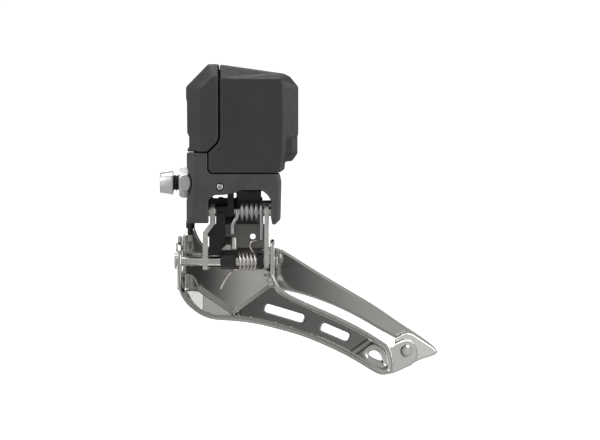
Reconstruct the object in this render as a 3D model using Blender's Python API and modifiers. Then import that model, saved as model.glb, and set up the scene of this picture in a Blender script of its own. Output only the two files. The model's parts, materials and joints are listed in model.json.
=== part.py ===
"""Electronic front derailleur for a road bicycle: motor unit, bracket, linkage and chain cage.

Frame: X towards the rear wheel, Y outboard (away from the seat tube), Z up. The origin is the
centre of the clamp nut's front face, on the clamp bolt's axis. Dimensions are millimetres,
and MM turns them into metres.
"""
import math

import bmesh
import bpy
from mathutils import Matrix, Vector

MM = 0.001
GAP = 0.3                       # clearance between neighbouring solids
NEAR_Y = -10.0                  # face of housing and bracket towards the seat tube
FAR_Y = 10.0                    # outboard face of the bracket
SPLIT_Y = 2.2                   # joint between the two halves of the housing
BACK_Y = 15.0                   # outboard face of the housing

# Linkage pivots, as (Y, Z); every pivot axis runs along X.
UPPER_NEAR = (-3.0, -10.3)
UPPER_FAR = (7.0, -8.0)
LINK = (-2.5, -17.8)            # from an upper pivot to its lower pivot
LOWER_NEAR = (UPPER_NEAR[0] + LINK[0], UPPER_NEAR[1] + LINK[1])
LOWER_FAR = (UPPER_FAR[0] + LINK[0], UPPER_FAR[1] + LINK[1])
NEAR_PIN_R = 1.7
FAR_PIN_R = 1.5

# Gear train: worm, worm wheel, pinion and the toothed sector of the drive lever.
MODULE = 0.6
PINION_TEETH = 10
SECTOR_TEETH = 26
SHAFT = (UPPER_NEAR[0], UPPER_NEAR[1] + MODULE * (PINION_TEETH + SECTOR_TEETH) / 2)
WHEEL_TEETH = 18
WHEEL_MODULE = 0.5
WORM_R = 1.7                    # pitch radius of the worm
WORM_X = 26.0
WORM_Y = SHAFT[0] + WHEEL_MODULE * WHEEL_TEETH / 2 + WORM_R + 0.45
SHAFT_R = 1.5
GEAR_X = (17.5, 19.7)
WHEEL_X = (24.7, 27.3)

# Cage
SHEET = 1.2                     # thickness of the stamped plates
INNER_FRONT_Y = -9.5            # rim of the inner plate
INNER_BACK_Y = -6.2
RIM = 1.4
FLOOR_Y = -1.7                  # bottom of the inner plate's V-shaped recess
OUTER_Y = 10.0                  # outer plate's middle at X = 0
OUTER_SLOPE = -0.048            # outer plate closes in towards the tail
TAIL_X = 76.2                   # bend line of the tail flanges
TAIL_ANGLE = math.radians(33.0)
TAIL_SLOPE = math.tan(TAIL_ANGLE)
TAIL_RIVET = (81.7, -60.6)
FRONT_RIVET = (3.5, -23.5)      # (Y, Z)


# ---------------------------------------------------------------- scene and helpers
def clear_scene():
    for obj in list(bpy.data.objects):
        bpy.data.objects.remove(obj, do_unlink=True)


def new_collection(name):
    collection = bpy.data.collections.new(name)
    bpy.context.scene.collection.children.link(collection)
    return collection


clear_scene()
PARTS = new_collection("front_derailleur")
CUTTERS = new_collection("cutters")


def finish(name, rgb, roughness, metallic):
    material = bpy.data.materials.new(name)
    material.use_nodes = True
    shader = material.node_tree.nodes["Principled BSDF"]
    shader.inputs["Base Color"].default_value = (*rgb, 1.0)
    shader.inputs["Roughness"].default_value = roughness
    shader.inputs["Metallic"].default_value = metallic
    return material


BLACK_PLASTIC = finish("black_plastic", (0.035, 0.035, 0.038), 0.5, 0.0)
BLACK_METAL = finish("black_metal", (0.06, 0.06, 0.065), 0.42, 0.6)
LEVER_BLACK = finish("lever_black", (0.01, 0.01, 0.01), 0.4, 0.3)
LINK_STEEL = finish("link_steel", (0.42, 0.42, 0.39), 0.42, 1.0)
CAGE_STEEL = finish("cage_steel", (0.62, 0.61, 0.58), 0.25, 1.0)
BOLT_STEEL = finish("bolt_steel", (0.7, 0.7, 0.7), 0.3, 1.0)
SPRING_STEEL = finish("spring_steel", (0.5, 0.5, 0.5), 0.3, 1.0)
AXLE_STEEL = finish("axle_steel", (0.6, 0.6, 0.56), 0.25, 1.0)
BUSH_BLACK = finish("bush_black", (0.015, 0.015, 0.015), 0.5, 0.0)
SEAL_RUBBER = finish("seal_rubber", (0.02, 0.02, 0.02), 0.8, 0.0)
GEAR_ACETAL = finish("gear_acetal", (0.02, 0.02, 0.02), 0.4, 0.0)
BOARD_GREEN = finish("board_green", (0.02, 0.12, 0.05), 0.5, 0.0)


def link_part(obj, material):
    PARTS.objects.link(obj)
    obj.data.materials.clear()
    obj.data.materials.append(material)
    return obj


def link_cutter(obj):
    CUTTERS.objects.link(obj)
    obj.hide_render = True
    obj.display_type = "WIRE"
    return obj


def curve_to_mesh(curve_obj):
    """Turn a curve into one closed mesh, kept in no collection yet."""
    scene_collection = bpy.context.scene.collection
    scene_collection.objects.link(curve_obj)
    depsgraph = bpy.context.evaluated_depsgraph_get()
    mesh = bpy.data.meshes.new_from_object(curve_obj.evaluated_get(depsgraph))
    bm = bmesh.new()
    bm.from_mesh(mesh)
    bmesh.ops.remove_doubles(bm, verts=bm.verts, dist=1e-6)
    bmesh.ops.recalc_face_normals(bm, faces=bm.faces)
    bm.to_mesh(mesh)
    bm.free()
    name = curve_obj.name
    place = curve_obj.matrix_world.copy()
    bpy.data.objects.remove(curve_obj)
    obj = bpy.data.objects.new(name, mesh)
    obj.matrix_world = place
    return obj


def flat_outline(name, points, thickness):
    """A filled 2D outline in the local XY plane, centred on the plane."""
    curve = bpy.data.curves.new(name, "CURVE")
    curve.dimensions = "2D"
    curve.fill_mode = "BOTH"
    curve.extrude = thickness / 2 * MM
    spline = curve.splines.new("POLY")
    spline.points.add(len(points) - 1)
    for point, (x, y) in zip(spline.points, points):
        point.co = (x * MM, y * MM, 0.0, 1.0)
    spline.use_cyclic_u = True
    return curve_to_mesh(bpy.data.objects.new(name, curve))


def prism_y(name, points, y0, y1):
    """Outline in (X, Z), from y0 to y1."""
    obj = flat_outline(name, points, y1 - y0)
    move = Matrix.Translation((0, (y0 + y1) / 2 * MM, 0))
    obj.data.transform(move @ Matrix.Rotation(math.pi / 2, 4, "X"))
    return obj


def prism_x(name, points, x0, x1):
    """Outline in (Y, Z), from x0 to x1."""
    obj = flat_outline(name, points, x1 - x0)
    turn = Matrix(((0, 0, 1, 0), (1, 0, 0, 0), (0, 1, 0, 0), (0, 0, 0, 1)))
    obj.data.transform(Matrix.Translation(((x0 + x1) / 2 * MM, 0, 0)) @ turn)
    return obj


def box(name, low, high):
    """A cube primitive between two corners."""
    bm = bmesh.new()
    size = [(b - a) * MM for a, b in zip(low, high)]
    middle = [(a + b) / 2 * MM for a, b in zip(low, high)]
    bmesh.ops.create_cube(bm, size=1.0)
    bmesh.ops.scale(bm, verts=bm.verts, vec=size)
    bmesh.ops.translate(bm, verts=bm.verts, vec=middle)
    return mesh_object(name, bm)


def mesh_object(name, bm):
    mesh = bpy.data.meshes.new(name)
    bm.to_mesh(mesh)
    bm.free()
    return bpy.data.objects.new(name, mesh)


def loft(name, rings):
    """Solid through rings that have the same number of (x, y, z) points."""
    bm = bmesh.new()
    rows = [[bm.verts.new([c * MM for c in point]) for point in ring] for ring in rings]
    count = len(rings[0])
    for row, following in zip(rows, rows[1:]):
        for i in range(count):
            j = (i + 1) % count
            bm.faces.new((row[i], row[j], following[j], following[i]))
    bm.faces.new(rows[0][::-1])
    bm.faces.new(rows[-1])
    bmesh.ops.recalc_face_normals(bm, faces=bm.faces)
    return mesh_object(name, bm)


def at_y(points, y):
    return [(x, y, z) for x, z in points]


def turned(name, profile, steps=20, ring=False):
    """A Screw of a (radius, height) profile that runs top to bottom on its outer side."""
    bm = bmesh.new()
    verts = [bm.verts.new((r * MM, 0.0, h * MM)) for r, h in profile]
    for a, b in zip(verts, verts[1:]):
        bm.edges.new((a, b))
    if ring:
        bm.edges.new((verts[-1], verts[0]))
    obj = mesh_object(name, bm)
    screw = obj.modifiers.new("turn", "SCREW")
    screw.axis = "Z"
    screw.steps = steps
    screw.render_steps = steps
    screw.use_merge_vertices = True
    screw.merge_threshold = 1e-6
    screw.use_smooth_shade = True
    return obj


def along_x(obj, y, z):
    """Local height becomes X."""
    obj.location = (0, y * MM, z * MM)
    obj.rotation_euler = (0, math.pi / 2, 0)
    return obj


def along_y(obj, x, z):
    """Local height becomes Y."""
    obj.location = (x * MM, 0, z * MM)
    obj.rotation_euler = (-math.pi / 2, 0, 0)
    return obj


def rod(name, radius, h0, h1, steps=16):
    return turned(name, [(0, h1), (radius, h1), (radius, h0), (0, h0)], steps)


def collar(name, outer, inner, h0, h1, steps=20):
    profile = [(inner, h1), (outer, h1), (outer, h0), (inner, h0)]
    return turned(name, profile, steps, ring=True)


def boolean(target, other, operation):
    modifier = target.modifiers.new(other.name, "BOOLEAN")
    modifier.operation = operation
    modifier.solver = "EXACT"
    modifier.object = link_cutter(other)


def cut(target, *others):
    for other in others:
        boolean(target, other, "DIFFERENCE")


def join(target, *others):
    for other in others:
        boolean(target, other, "UNION")


def keep(target, other):
    boolean(target, other, "INTERSECT")


def weld(obj):
    """Merge the near-twin points that many Booleans on round bosses leave behind."""
    modifier = obj.modifiers.new("weld", "WELD")
    modifier.merge_threshold = 0.00001


def hang_on(obj, x, y, z):
    """Put the origin of a piece on its joint's axis without moving the piece."""
    pivot = Vector((x * MM, y * MM, z * MM))
    obj.data.transform(Matrix.Translation(-pivot))
    obj.location = pivot
    return obj


def shear_y(obj, x0, slope, offset=0.0):
    """Lean a plate in plan: Y grows by slope for each unit of X beyond x0."""
    for vertex in obj.data.vertices:
        vertex.co.y += (vertex.co.x - x0 * MM) * slope + offset * MM
    return obj


def arc(cx, cy, radius, start, end, steps):
    """Points on an arc, angles in degrees."""
    angles = [math.radians(start + (end - start) * i / steps) for i in range(steps + 1)]
    return [(cx + radius * math.cos(a), cy + radius * math.sin(a)) for a in angles]


def stadium(a, b, radius_a, radius_b, steps=8):
    """Outline round two circles, used for link arms and slots."""
    lean = math.degrees(math.atan2(b[1] - a[1], b[0] - a[0]))
    first = arc(a[0], a[1], radius_a, lean + 90, lean + 270, steps)
    return first + arc(b[0], b[1], radius_b, lean - 90, lean + 90, steps)


def slot(name, centre, length, width, tilt, y0, y1, corner=1.0):
    """A long hole with rounded corners through a plate that lies in XZ."""
    dx = length / 2 - corner
    dz = width / 2 - corner
    flat = arc(dx, dz, corner, 0, 90, 3) + arc(-dx, dz, corner, 90, 180, 3)
    flat += arc(-dx, -dz, corner, 180, 270, 3) + arc(dx, -dz, corner, 270, 360, 3)
    c = math.cos(math.radians(tilt))
    s = math.sin(math.radians(tilt))
    points = [(centre[0] + x * c - z * s, centre[1] + x * s + z * c) for x, z in flat]
    return prism_y(name, points, y0, y1)


def wire(name, points, radius):
    """A filled round wire along points, as a closed mesh."""
    curve = bpy.data.curves.new(name, "CURVE")
    curve.dimensions = "3D"
    curve.bevel_depth = radius * MM
    curve.bevel_resolution = 2
    curve.use_fill_caps = True
    spline = curve.splines.new("POLY")
    spline.points.add(len(points) - 1)
    for point, co in zip(spline.points, points):
        point.co = (*[c * MM for c in co], 1.0)
    obj = curve_to_mesh(bpy.data.objects.new(name, curve))
    obj.data.shade_smooth()
    return obj


def coil(pivot, radius, x0, x1, turns, start, per_turn):
    """Helix round an X axis; start is the angle in degrees from +Y towards +Z."""
    count = int(round(turns * per_turn))
    points = []
    for i in range(count + 1):
        angle = math.radians(start) + 2 * math.pi * turns * i / count
        y = pivot[0] + radius * math.cos(angle)
        z = pivot[1] + radius * math.sin(angle)
        points.append((x0 + (x1 - x0) * i / count, y, z))
    return points


def gear_teeth(centre, teeth, module, first, last, half_tooth):
    """Tooth points from index first to last; tooth 0 points along +Z."""
    pitch = 360.0 / teeth
    root = module * teeth / 2 - 0.8
    tip = module * teeth / 2 + 0.4
    points = []
    for i in range(first, last + 1):
        middle = 90 + (i + half_tooth) * pitch
        for radius, share in ((root, -0.24), (tip, -0.13), (tip, 0.13), (root, 0.24)):
            angle = math.radians(middle + share * pitch)
            y = centre[0] + radius * math.cos(angle)
            z = centre[1] + radius * math.sin(angle)
            points.append((y, z))
    return points


# ---------------------------------------------------------------- motor unit
HOUSING_SIDE = [
    (14.8, 42.7), (37.8, 39.4), (40.0, 38.3), (43.0, 34.6), (43.0, 17.5), (42.7, 16.9),
    (42.7, 10.6), (40.7, 7.9), (38.2, 7.7), (38.1, 5.0), (36.7, 4.0), (36.0, 3.7),
    (11.7, 3.7), (10.7, 4.9), (10.7, 11.2), (11.5, 11.7), (14.0, 14.2), (14.8, 16.0),
]
HOUSING_FACE = [
    (14.8, 37.6), (35.6, 37.6), (36.6, 37.0), (37.1, 35.0), (37.1, 17.5), (37.1, 16.4),
    (37.0, 10.6), (36.9, 8.6), (36.7, 7.7), (36.6, 5.4), (36.3, 4.4), (35.8, 3.7),
    (11.7, 3.7), (10.7, 4.9), (10.7, 11.2), (11.5, 11.7), (14.0, 14.2), (14.8, 16.0),
]
HOUSING_CAVITY = [
    (17.0, 39.2), (36.8, 36.6), (38.6, 35.6), (41.0, 32.6), (41.0, 11.0), (36.6, 9.5),
    (35.5, 6.5), (13.5, 6.5), (13.5, 10.5), (16.2, 13.2), (17.0, 15.6),
]
COVER_BACK_ROOM = [
    (17.0, 39.2), (36.0, 36.7), (37.4, 35.6), (38.0, 34.4), (38.0, 11.0), (36.6, 9.5),
    (35.5, 6.5), (13.5, 6.5), (13.5, 10.5), (16.2, 13.2), (17.0, 15.6),
]
SCREW_SPOTS = [(19.6, 36.7), (38.6, 32.6), (38.9, 21.0), (15.9, 9.1)]
CHAMFER_Y = 3.8


def build_motor_housing():
    shell = loft("motor_housing", [
        at_y(HOUSING_FACE, NEAR_Y), at_y(HOUSING_SIDE, NEAR_Y + CHAMFER_Y),
        at_y(HOUSING_SIDE, SPLIT_Y - GAP),
    ])
    link_part(shell, BLACK_PLASTIC)
    port = [(37.3, 16.6), (42.0, 16.6), (42.7, 15.8), (42.7, 10.6), (40.7, 7.9), (37.3, 7.9)]
    port_face = [(37.6, 16.2), (40.6, 16.2), (41.2, 15.6), (41.2, 11.0), (40.0, 8.8), (37.6, 8.8)]
    join(shell, loft("port_boss", [at_y(port_face, -8.6), at_y(port, -7.2), at_y(port, -2.0)]))
    cut(shell, prism_y("housing_room", HOUSING_CAVITY, NEAR_Y + 3.6, SPLIT_Y + 1))
    for number, (x, z) in enumerate(SCREW_SPOTS, 1):
        boss = along_y(rod(f"boss_{number}", 2.2, NEAR_Y + 3.0, SPLIT_Y - GAP - 0.1, 12), x, z)
        join(shell, boss)
    for number, (x, z) in enumerate(SCREW_SPOTS, 1):
        cut(shell, along_y(rod(f"screw_hole_{number}", 1.2, -4.5, SPLIT_Y + 1, 12), x, z))
    cut(shell, box("floor_pinion_slot", (16.8, -7.0, 3.0), (20.4, 1.2, 7.0)))
    cut(shell, box("floor_worm_slot", (23.0, -8.2, 3.0), (29.4, 6.6, 7.0)))
    cut(shell, along_x(rod("port_bore", 2.1, 38.2, 44.0, 16), -3.0, 13.6))
    weld(shell)


def build_housing_cover():
    low = SPLIT_Y + GAP + 0.6
    shell = loft("housing_cover", [
        at_y(HOUSING_SIDE, low), at_y(HOUSING_SIDE, BACK_Y - CHAMFER_Y), at_y(HOUSING_FACE, BACK_Y),
    ])
    link_part(shell, BLACK_PLASTIC)
    cut(shell, prism_y("cover_room", HOUSING_CAVITY, low - 1, BACK_Y - 3.7))
    cut(shell, prism_y("cover_back_room", COVER_BACK_ROOM, BACK_Y - 4.5, BACK_Y - 2.0))
    cut(shell, box("cover_worm_slot", (23.0, 0.0, 3.0), (29.4, 6.6, 7.0)))
    for number, (x, z) in enumerate(SCREW_SPOTS, 1):
        join(shell, along_y(rod(f"cover_boss_{number}", 2.4, low + 0.1, BACK_Y - 1.9, 12), x, z))
    for number, (x, z) in enumerate(SCREW_SPOTS, 1):
        well = [(0, 20), (1.9, 20), (1.9, 10.8), (1.2, 10.8), (1.2, 0), (0, 0)]
        cut(shell, along_y(turned(f"cover_well_{number}", well, 12), x, z))
    weld(shell)


def build_cover_seal():
    low = SPLIT_Y + GAP - 0.25
    seal = prism_y("cover_seal", inset(HOUSING_SIDE, 0.5), low, low + 0.45)
    link_part(seal, SEAL_RUBBER)
    cut(seal, prism_y("seal_room", HOUSING_CAVITY, low - 1, low + 2))
    for number, (x, z) in enumerate(SCREW_SPOTS, 1):
        cut(seal, along_y(rod(f"seal_hole_{number}", 1.4, low - 1, low + 2, 12), x, z))
    cut(seal, box("seal_worm_slot", (23.0, 0.0, 3.0), (29.4, 6.6, 7.0)))


def inset(points, distance):
    """Move a clockwise outline inwards."""
    moved = []
    count = len(points)
    for i, (x, z) in enumerate(points):
        before = Vector(points[i - 1])
        here = Vector((x, z))
        after = Vector(points[(i + 1) % count])
        way_in = (here - before).normalized()
        way_out = (after - here).normalized()
        side_in = Vector((way_in.y, -way_in.x))
        side_out = Vector((way_out.y, -way_out.x))
        middle = (side_in + side_out).normalized()
        reach = min(distance / max(middle.dot(side_in), 0.3), 2.5 * distance)
        moved.append(tuple(here + middle * reach))
    return moved


def build_cover_screws():
    for number, (x, z) in enumerate(SCREW_SPOTS, 1):
        profile = [(0, 12.4), (0.8, 12.4), (0.8, 13.2), (1.5, 13.2), (1.6, 12.9), (1.6, 11.2)]
        profile += [(0.9, 11.2), (0.9, -3.2), (0.5, -3.8), (0, -3.8)]
        screw = along_y(turned(f"cover_screw_{number}", profile, 12), x, z)
        link_part(screw, BOLT_STEEL)


SIDE_OUTER = [
    (10.6, 42.8), (14.3, 42.8), (14.3, 16.2), (13.5, 14.4), (10.8, 11.9), (10.3, 11.3),
    (3.0, 11.3), (3.0, 12.0), (3.7, 13.0), (3.7, 16.9), (3.0, 18.0), (2.9, 29.5), (2.6, 30.1),
    (2.6, 34.6),
]
SIDE_FACE = [
    (11.9, 38.0), (14.3, 38.0), (14.3, 16.2), (13.5, 14.4), (10.8, 11.9), (10.3, 11.3),
    (7.4, 11.3), (7.4, 12.0), (7.5, 13.0), (7.5, 16.9), (7.4, 18.0), (7.4, 29.5), (7.4, 30.1),
    (7.6, 34.2),
]


def build_side_cover():
    cover = loft("side_cover", [
        at_y(SIDE_FACE, NEAR_Y), at_y(SIDE_OUTER, NEAR_Y + CHAMFER_Y),
        at_y(SIDE_OUTER, BACK_Y - CHAMFER_Y), at_y(SIDE_FACE, BACK_Y),
    ])
    link_part(cover, BLACK_PLASTIC)
    room = [
        (5.2, 33.6), (11.2, 40.2), (15.0, 40.2), (15.0, 18.0), (12.3, 15.8), (9.9, 13.6), (5.4, 13.6),
    ]
    cut(cover, prism_y("side_room", room, NEAR_Y + 3.0, BACK_Y - 3.0))


def build_port_plug():
    profile = [(0, 42.4), (1.5, 42.4), (1.8, 42.1), (1.8, 38.8), (0, 38.8)]
    link_part(along_x(turned("port_plug", profile, 16), -3.0, 13.6), SEAL_RUBBER)


def build_circuit_board():
    link_part(box("circuit_board", (33.2, -4.5, 12.5), (34.4, 10.5, 34.0)), BOARD_GREEN)


def build_motor():
    profile = [(0, 33.6), (4.9, 33.6), (5.5, 33.0), (5.5, 17.6), (4.9, 17.0), (2.0, 17.0)]
    profile += [(2.0, 15.8), (1.1, 15.8), (1.1, 20.0), (0, 20.0)]
    can = turned("motor_can", profile, 24)
    can.location = (WORM_X * MM, WORM_Y * MM, 0)
    link_part(can, BOLT_STEEL)
    shaft = rod("motor_shaft", 0.8, -3.4, 19.6, 12)
    shaft.location = (WORM_X * MM, WORM_Y * MM, 0)
    link_part(shaft, AXLE_STEEL)


def build_worm():
    """Single-start worm: rings of points whose radius follows the thread."""
    lead = math.pi * WHEEL_MODULE
    around = 12
    per_lead = 6
    half_length = 2.6
    rows = int(2 * half_length / lead * per_lead)
    rings = []
    for row in range(rows + 1):
        height = -half_length + 2 * half_length * row / rows
        ring = []
        for i in range(around):
            angle = 2 * math.pi * i / around
            phase = (height / lead - (angle - 1.5 * math.pi) / (2 * math.pi)) % 1.0
            ridge = max(0.0, 1.0 - 3.2 * min(phase, 1.0 - phase))
            radius = WORM_R - 0.35 + 0.75 * min(1.0, 1.4 * ridge)
            ring.append((radius * math.cos(angle), radius * math.sin(angle), height))
        rings.append(ring)
    worm = loft("worm", rings)
    worm.location = (WORM_X * MM, WORM_Y * MM, SHAFT[1] * MM)
    link_part(worm, AXLE_STEEL)
    bore = rod("worm_bore", 1.1, -4, 4, 12)
    bore.location = worm.location
    cut(worm, bore)


def build_gears():
    link_part(along_x(rod("output_shaft", SHAFT_R, 16.6, 31.6), *SHAFT), AXLE_STEEL)
    # A gap of the pinion faces down, to the sector, and a gap of the wheel faces the worm.
    pinion_points = gear_teeth((0, 0), PINION_TEETH, MODULE, 0, PINION_TEETH - 1, 0.5)
    pinion = prism_x("output_pinion", pinion_points, *GEAR_X)
    pinion.location = (0, SHAFT[0] * MM, SHAFT[1] * MM)
    link_part(pinion, BOLT_STEEL)
    cut(pinion, along_x(rod("pinion_bore", SHAFT_R + GAP, 15, 22), *SHAFT))
    wheel_points = gear_teeth((0, 0), WHEEL_TEETH, WHEEL_MODULE, 0, WHEEL_TEETH - 1, 0.0)
    wheel = prism_x("worm_wheel", wheel_points, *WHEEL_X)
    wheel.location = (0, SHAFT[0] * MM, SHAFT[1] * MM)
    link_part(wheel, GEAR_ACETAL)
    cut(wheel, along_x(rod("wheel_bore", SHAFT_R + GAP, 20, 30), *SHAFT))


# ---------------------------------------------------------------- bracket and fixings
BRACKET_SIDE = [
    (2.9, 10.9), (10.3, 10.9), (10.3, 4.6), (11.4, 3.35), (36.2, 3.35), (36.6, 1.8), (36.9, 0.4),
    (36.6, -13.0), (34.7, -14.9), (33.6, -14.9), (33.1, -12.2), (33.3, -6.5), (32.0, -4.3),
    (30.6, -3.1), (29.5, -2.5), (22.7, -2.5), (20.5, -3.5), (18.4, -4.1), (12.8, -4.3),
    (10.8, -6.0), (10.7, -14.4), (2.8, -14.4), (2.8, -9.0), (2.8, -6.0),
]
BRACKET_FACE = [
    (5.3, 10.9), (10.3, 10.9), (10.3, 4.6), (11.4, 3.35), (35.5, 3.35), (35.8, 1.8), (36.0, 0.4),
    (35.8, -12.6), (34.5, -14.3), (33.8, -14.3), (33.3, -12.2), (33.5, -6.5), (32.2, -4.1),
    (30.8, -2.9), (29.5, -2.3), (22.7, -2.3), (20.5, -3.3), (18.4, -3.9), (12.8, -4.1),
    (10.6, -6.0), (10.5, -14.2), (3.4, -14.2), (4.4, -10.0), (5.3, -6.0),
]


def build_bracket():
    bracket = loft("bracket", [
        at_y(BRACKET_FACE, NEAR_Y), at_y(BRACKET_SIDE, NEAR_Y + 2.0),
        at_y(BRACKET_SIDE, FAR_Y - 2.0), at_y(BRACKET_FACE, FAR_Y),
    ])
    link_part(bracket, BLACK_METAL)
    cut(bracket, along_y(rod("frame_recess", 8.85, -12, 12, 40), -4.0, 0.0))
    cut(bracket, along_x(rod("nut_seat", 6.1, 0.0, 4.9, 24), 0.0, 0.0))
    cut(bracket, along_x(rod("clamp_bore", 3.3, 0.0, 9.0, 24), 0.0, 0.0))
    cut(bracket, box("far_step", (1.0, -2.4, -16.0), (12.0, 12.0, -11.4)))
    cut(bracket, along_x(rod("near_axle_bore", NEAR_PIN_R + GAP, 3.6, 36.2), *UPPER_NEAR))
    cut(bracket, along_x(rod("far_axle_bore", FAR_PIN_R + GAP, 3.6, 36.2), *UPPER_FAR))
    cut(bracket, along_y(rod("support_bore", 1.45, -12, 12), 14.8, -1.3))
    cut(bracket, box("pinion_slot", (16.9, -8.9, -8.0), (20.3, 3.2, 5.0)))
    cut(bracket, box("wheel_slot", (23.0, -8.3, -8.0), (29.4, 6.6, 5.0)))
    cut(bracket, along_x(rod("shaft_bore", SHAFT_R + GAP, 16.4, 32.0), *SHAFT))
    adjust_bore = rod("adjust_bore", 1.4, -20.0, -5.4)
    adjust_bore.location = (3.9 * MM, 4.0 * MM, 0)
    cut(bracket, adjust_bore)
    # Shroud behind the arch: it runs past the sector, steps forward and covers the coil's back.
    join(bracket, box("shroud_sector", (10.2, 3.1, -9.2), (21.5, 3.8, -5.6)))
    join(bracket, box("shroud_step", (20.6, 1.2, -9.1), (22.8, 3.7, -1.0)))
    join(bracket, box("shroud_coil", (22.4, 1.25, -11.4), (29.6, 2.4, -2.6)))


def hexagon(radius):
    """Corners of a hexagon with one corner up."""
    angles = [math.radians(60 * i) for i in range(6)]
    return [(radius * math.sin(a), radius * math.cos(a)) for a in angles]


def build_clamp_nut():
    nut = prism_x("clamp_nut", hexagon(5.5), 0.0, 4.5)
    link_part(nut, BOLT_STEEL)
    chamfer = [(0, 4.5), (4.2, 4.5), (5.7, 3.3), (5.7, 1.0), (4.75, 0.0), (0, 0.0)]
    shape = along_x(turned("nut_chamfer", chamfer, 24), 0, 0)
    keep(nut, shape)
    cut(nut, along_x(rod("nut_bore", 3.25, -1, 6, 24), 0, 0))


def build_clamp_bolt():
    profile = [(0, 8.6), (2.4, 8.6), (2.95, 8.0), (2.95, -2.1), (4.3, -2.1), (4.3, -2.6)]
    profile += [(4.1, -3.2), (3.7, -6.6), (3.3, -7.0), (0, -7.0)]
    bolt = link_part(along_x(turned("clamp_bolt", profile, 24), 0, 0), BOLT_STEEL)
    cut(bolt, prism_x("bolt_socket", hexagon(2.9), -8.0, -4.0))


def build_support_bolt():
    profile = [(0, 14.9), (1.9, 14.9), (2.2, 14.6), (2.2, 13.1), (1.15, 13.1), (1.15, -9.9)]
    profile += [(1.0, -10.1), (0.55, -10.1), (0.55, -8.6), (0, -8.6)]
    bolt = along_y(turned("support_bolt", profile, 16), 14.8, -1.3)
    link_part(bolt, BOLT_STEEL)


def build_adjust_screw():
    profile = [(0, -6.6), (1.05, -6.6), (1.05, -13.8), (1.6, -13.8), (1.6, -16.6), (1.05, -16.6)]
    profile += [(1.05, -18.6), (0.7, -19.0), (0, -19.0)]
    screw = turned("low_adjust_screw", profile, 16)
    screw.location = (3.9 * MM, 4.0 * MM, 0)
    link_part(screw, LEVER_BLACK)


def build_upper_axles():
    for name, radius, pivot in (
        ("upper_near_axle", NEAR_PIN_R, UPPER_NEAR), ("upper_far_axle", FAR_PIN_R, UPPER_FAR),
    ):
        link_part(along_x(rod(name, radius, 4.0, 35.8), *pivot), AXLE_STEEL)


# ---------------------------------------------------------------- linkage
def build_near_link():
    left = [
        (11.2, -6.0), (13.0, -6.0), (13.0, -14.8), (10.4, -18.2), (10.4, -33.0), (8.6, -33.0),
        (8.6, -17.8), (11.2, -14.5),
    ]
    link = prism_y("near_link", left, -11.0, 3.0)
    hang_on(link, 0, *UPPER_NEAR)
    link_part(link, LINK_STEEL)
    join(link, box("right_arm", (30.8, -11.0, -33.0), (32.4, 3.0, -6.0)))
    side = stadium(UPPER_NEAR, LOWER_NEAR, 3.1, 3.3)
    keep(link, prism_x("arm_shape", side, 5.0, 35.0))
    web = [
        (12.4, -14.8), (31.4, -14.8), (31.4, -23.4), (20.6, -23.4), (20.6, -24.5), (15.6, -24.5),
        (15.6, -23.6), (17.6, -21.9), (18.7, -22.2), (18.7, -19.4), (9.8, -19.4), (9.8, -17.2),
    ]
    join(link, prism_y("link_web", web, -3.4, -2.2))
    cut(link, along_x(rod("link_upper_bore", NEAR_PIN_R + GAP, 5, 35), *UPPER_NEAR))
    cut(link, along_x(rod("link_lower_bore", NEAR_PIN_R + GAP, 5, 35), *LOWER_NEAR))
    cut(link, along_y(rod("web_hole", 1.0, -5, 0), 26.6, -19.3))


def build_drive_lever():
    centre = UPPER_NEAR
    teeth = gear_teeth(centre, SECTOR_TEETH, MODULE, -3, 1, 0.0)
    y, z = centre
    outline = [(y + 2.4, z - 1.8), *teeth, (y - 2.9, z + 0.5), (y - 2.4, z - 1.8)]
    lever = prism_x("drive_lever", outline, *GEAR_X)
    hang_on(lever, 0, *centre)
    link_part(lever, LEVER_BLACK)
    join(lever, along_x(rod("lever_hub", 3.0, 13.4, 19.9, 20), *centre))
    arm = [
        (13.4, -10.6), (16.8, -10.6), (16.8, -20.5), (15.0, -23.0), (15.0, -24.6), (14.5, -24.6),
        (14.5, -25.9), (10.9, -25.9), (10.9, -17.9), (13.4, -14.5),
    ]
    join(lever, prism_y("lever_arm", arm, -7.6, -3.8))
    cut(lever, along_x(rod("lever_bore", NEAR_PIN_R + GAP, 10, 24), *centre))


def build_saver_spring():
    points = coil(UPPER_NEAR, 3.05, 21.0, 29.7, 5, 180, 12)
    front = UPPER_NEAR[0] - 3.05
    left_leg = [(19.5, front, -18.2), (19.5, front, -15.2), (20.9, front, -12.4)]
    right_leg = [(29.75, front, -13.0), (29.75, front, -20.4)]
    # The wire enters each coil end going straight up or down, on the near side.
    spring = wire("saver_spring", left_leg + points + right_leg, 0.7)
    hang_on(spring, 0, *UPPER_NEAR)
    link_part(spring, SPRING_STEEL)


def build_far_link():
    side = stadium(UPPER_FAR, LOWER_FAR, 2.7, 2.7)
    link = prism_x("far_link", side, 14.0, 30.0)
    hang_on(link, 0, *UPPER_FAR)
    link_part(link, LINK_STEEL)
    across = Vector((LINK[1], -LINK[0])).normalized() * -1.0
    corners = []
    for share, reach in ((-0.3, -1.4), (-0.3, 5.0), (1.3, 5.0), (1.3, -1.4)):
        corners.append((UPPER_FAR[0] + LINK[0] * share + across.x * reach,
                        UPPER_FAR[1] + LINK[1] * share + across.y * reach))
    cut(link, prism_x("far_link_channel", corners, 15.8, 28.2))
    cut(link, along_x(rod("far_upper_bore", FAR_PIN_R + GAP, 10, 34), *UPPER_FAR))
    cut(link, along_x(rod("far_lower_bore", FAR_PIN_R + GAP, 10, 34), *LOWER_FAR))
    cut(link, along_y(rod("far_link_window", 1.6, 0, 8), 26.6, -19.8))


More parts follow.
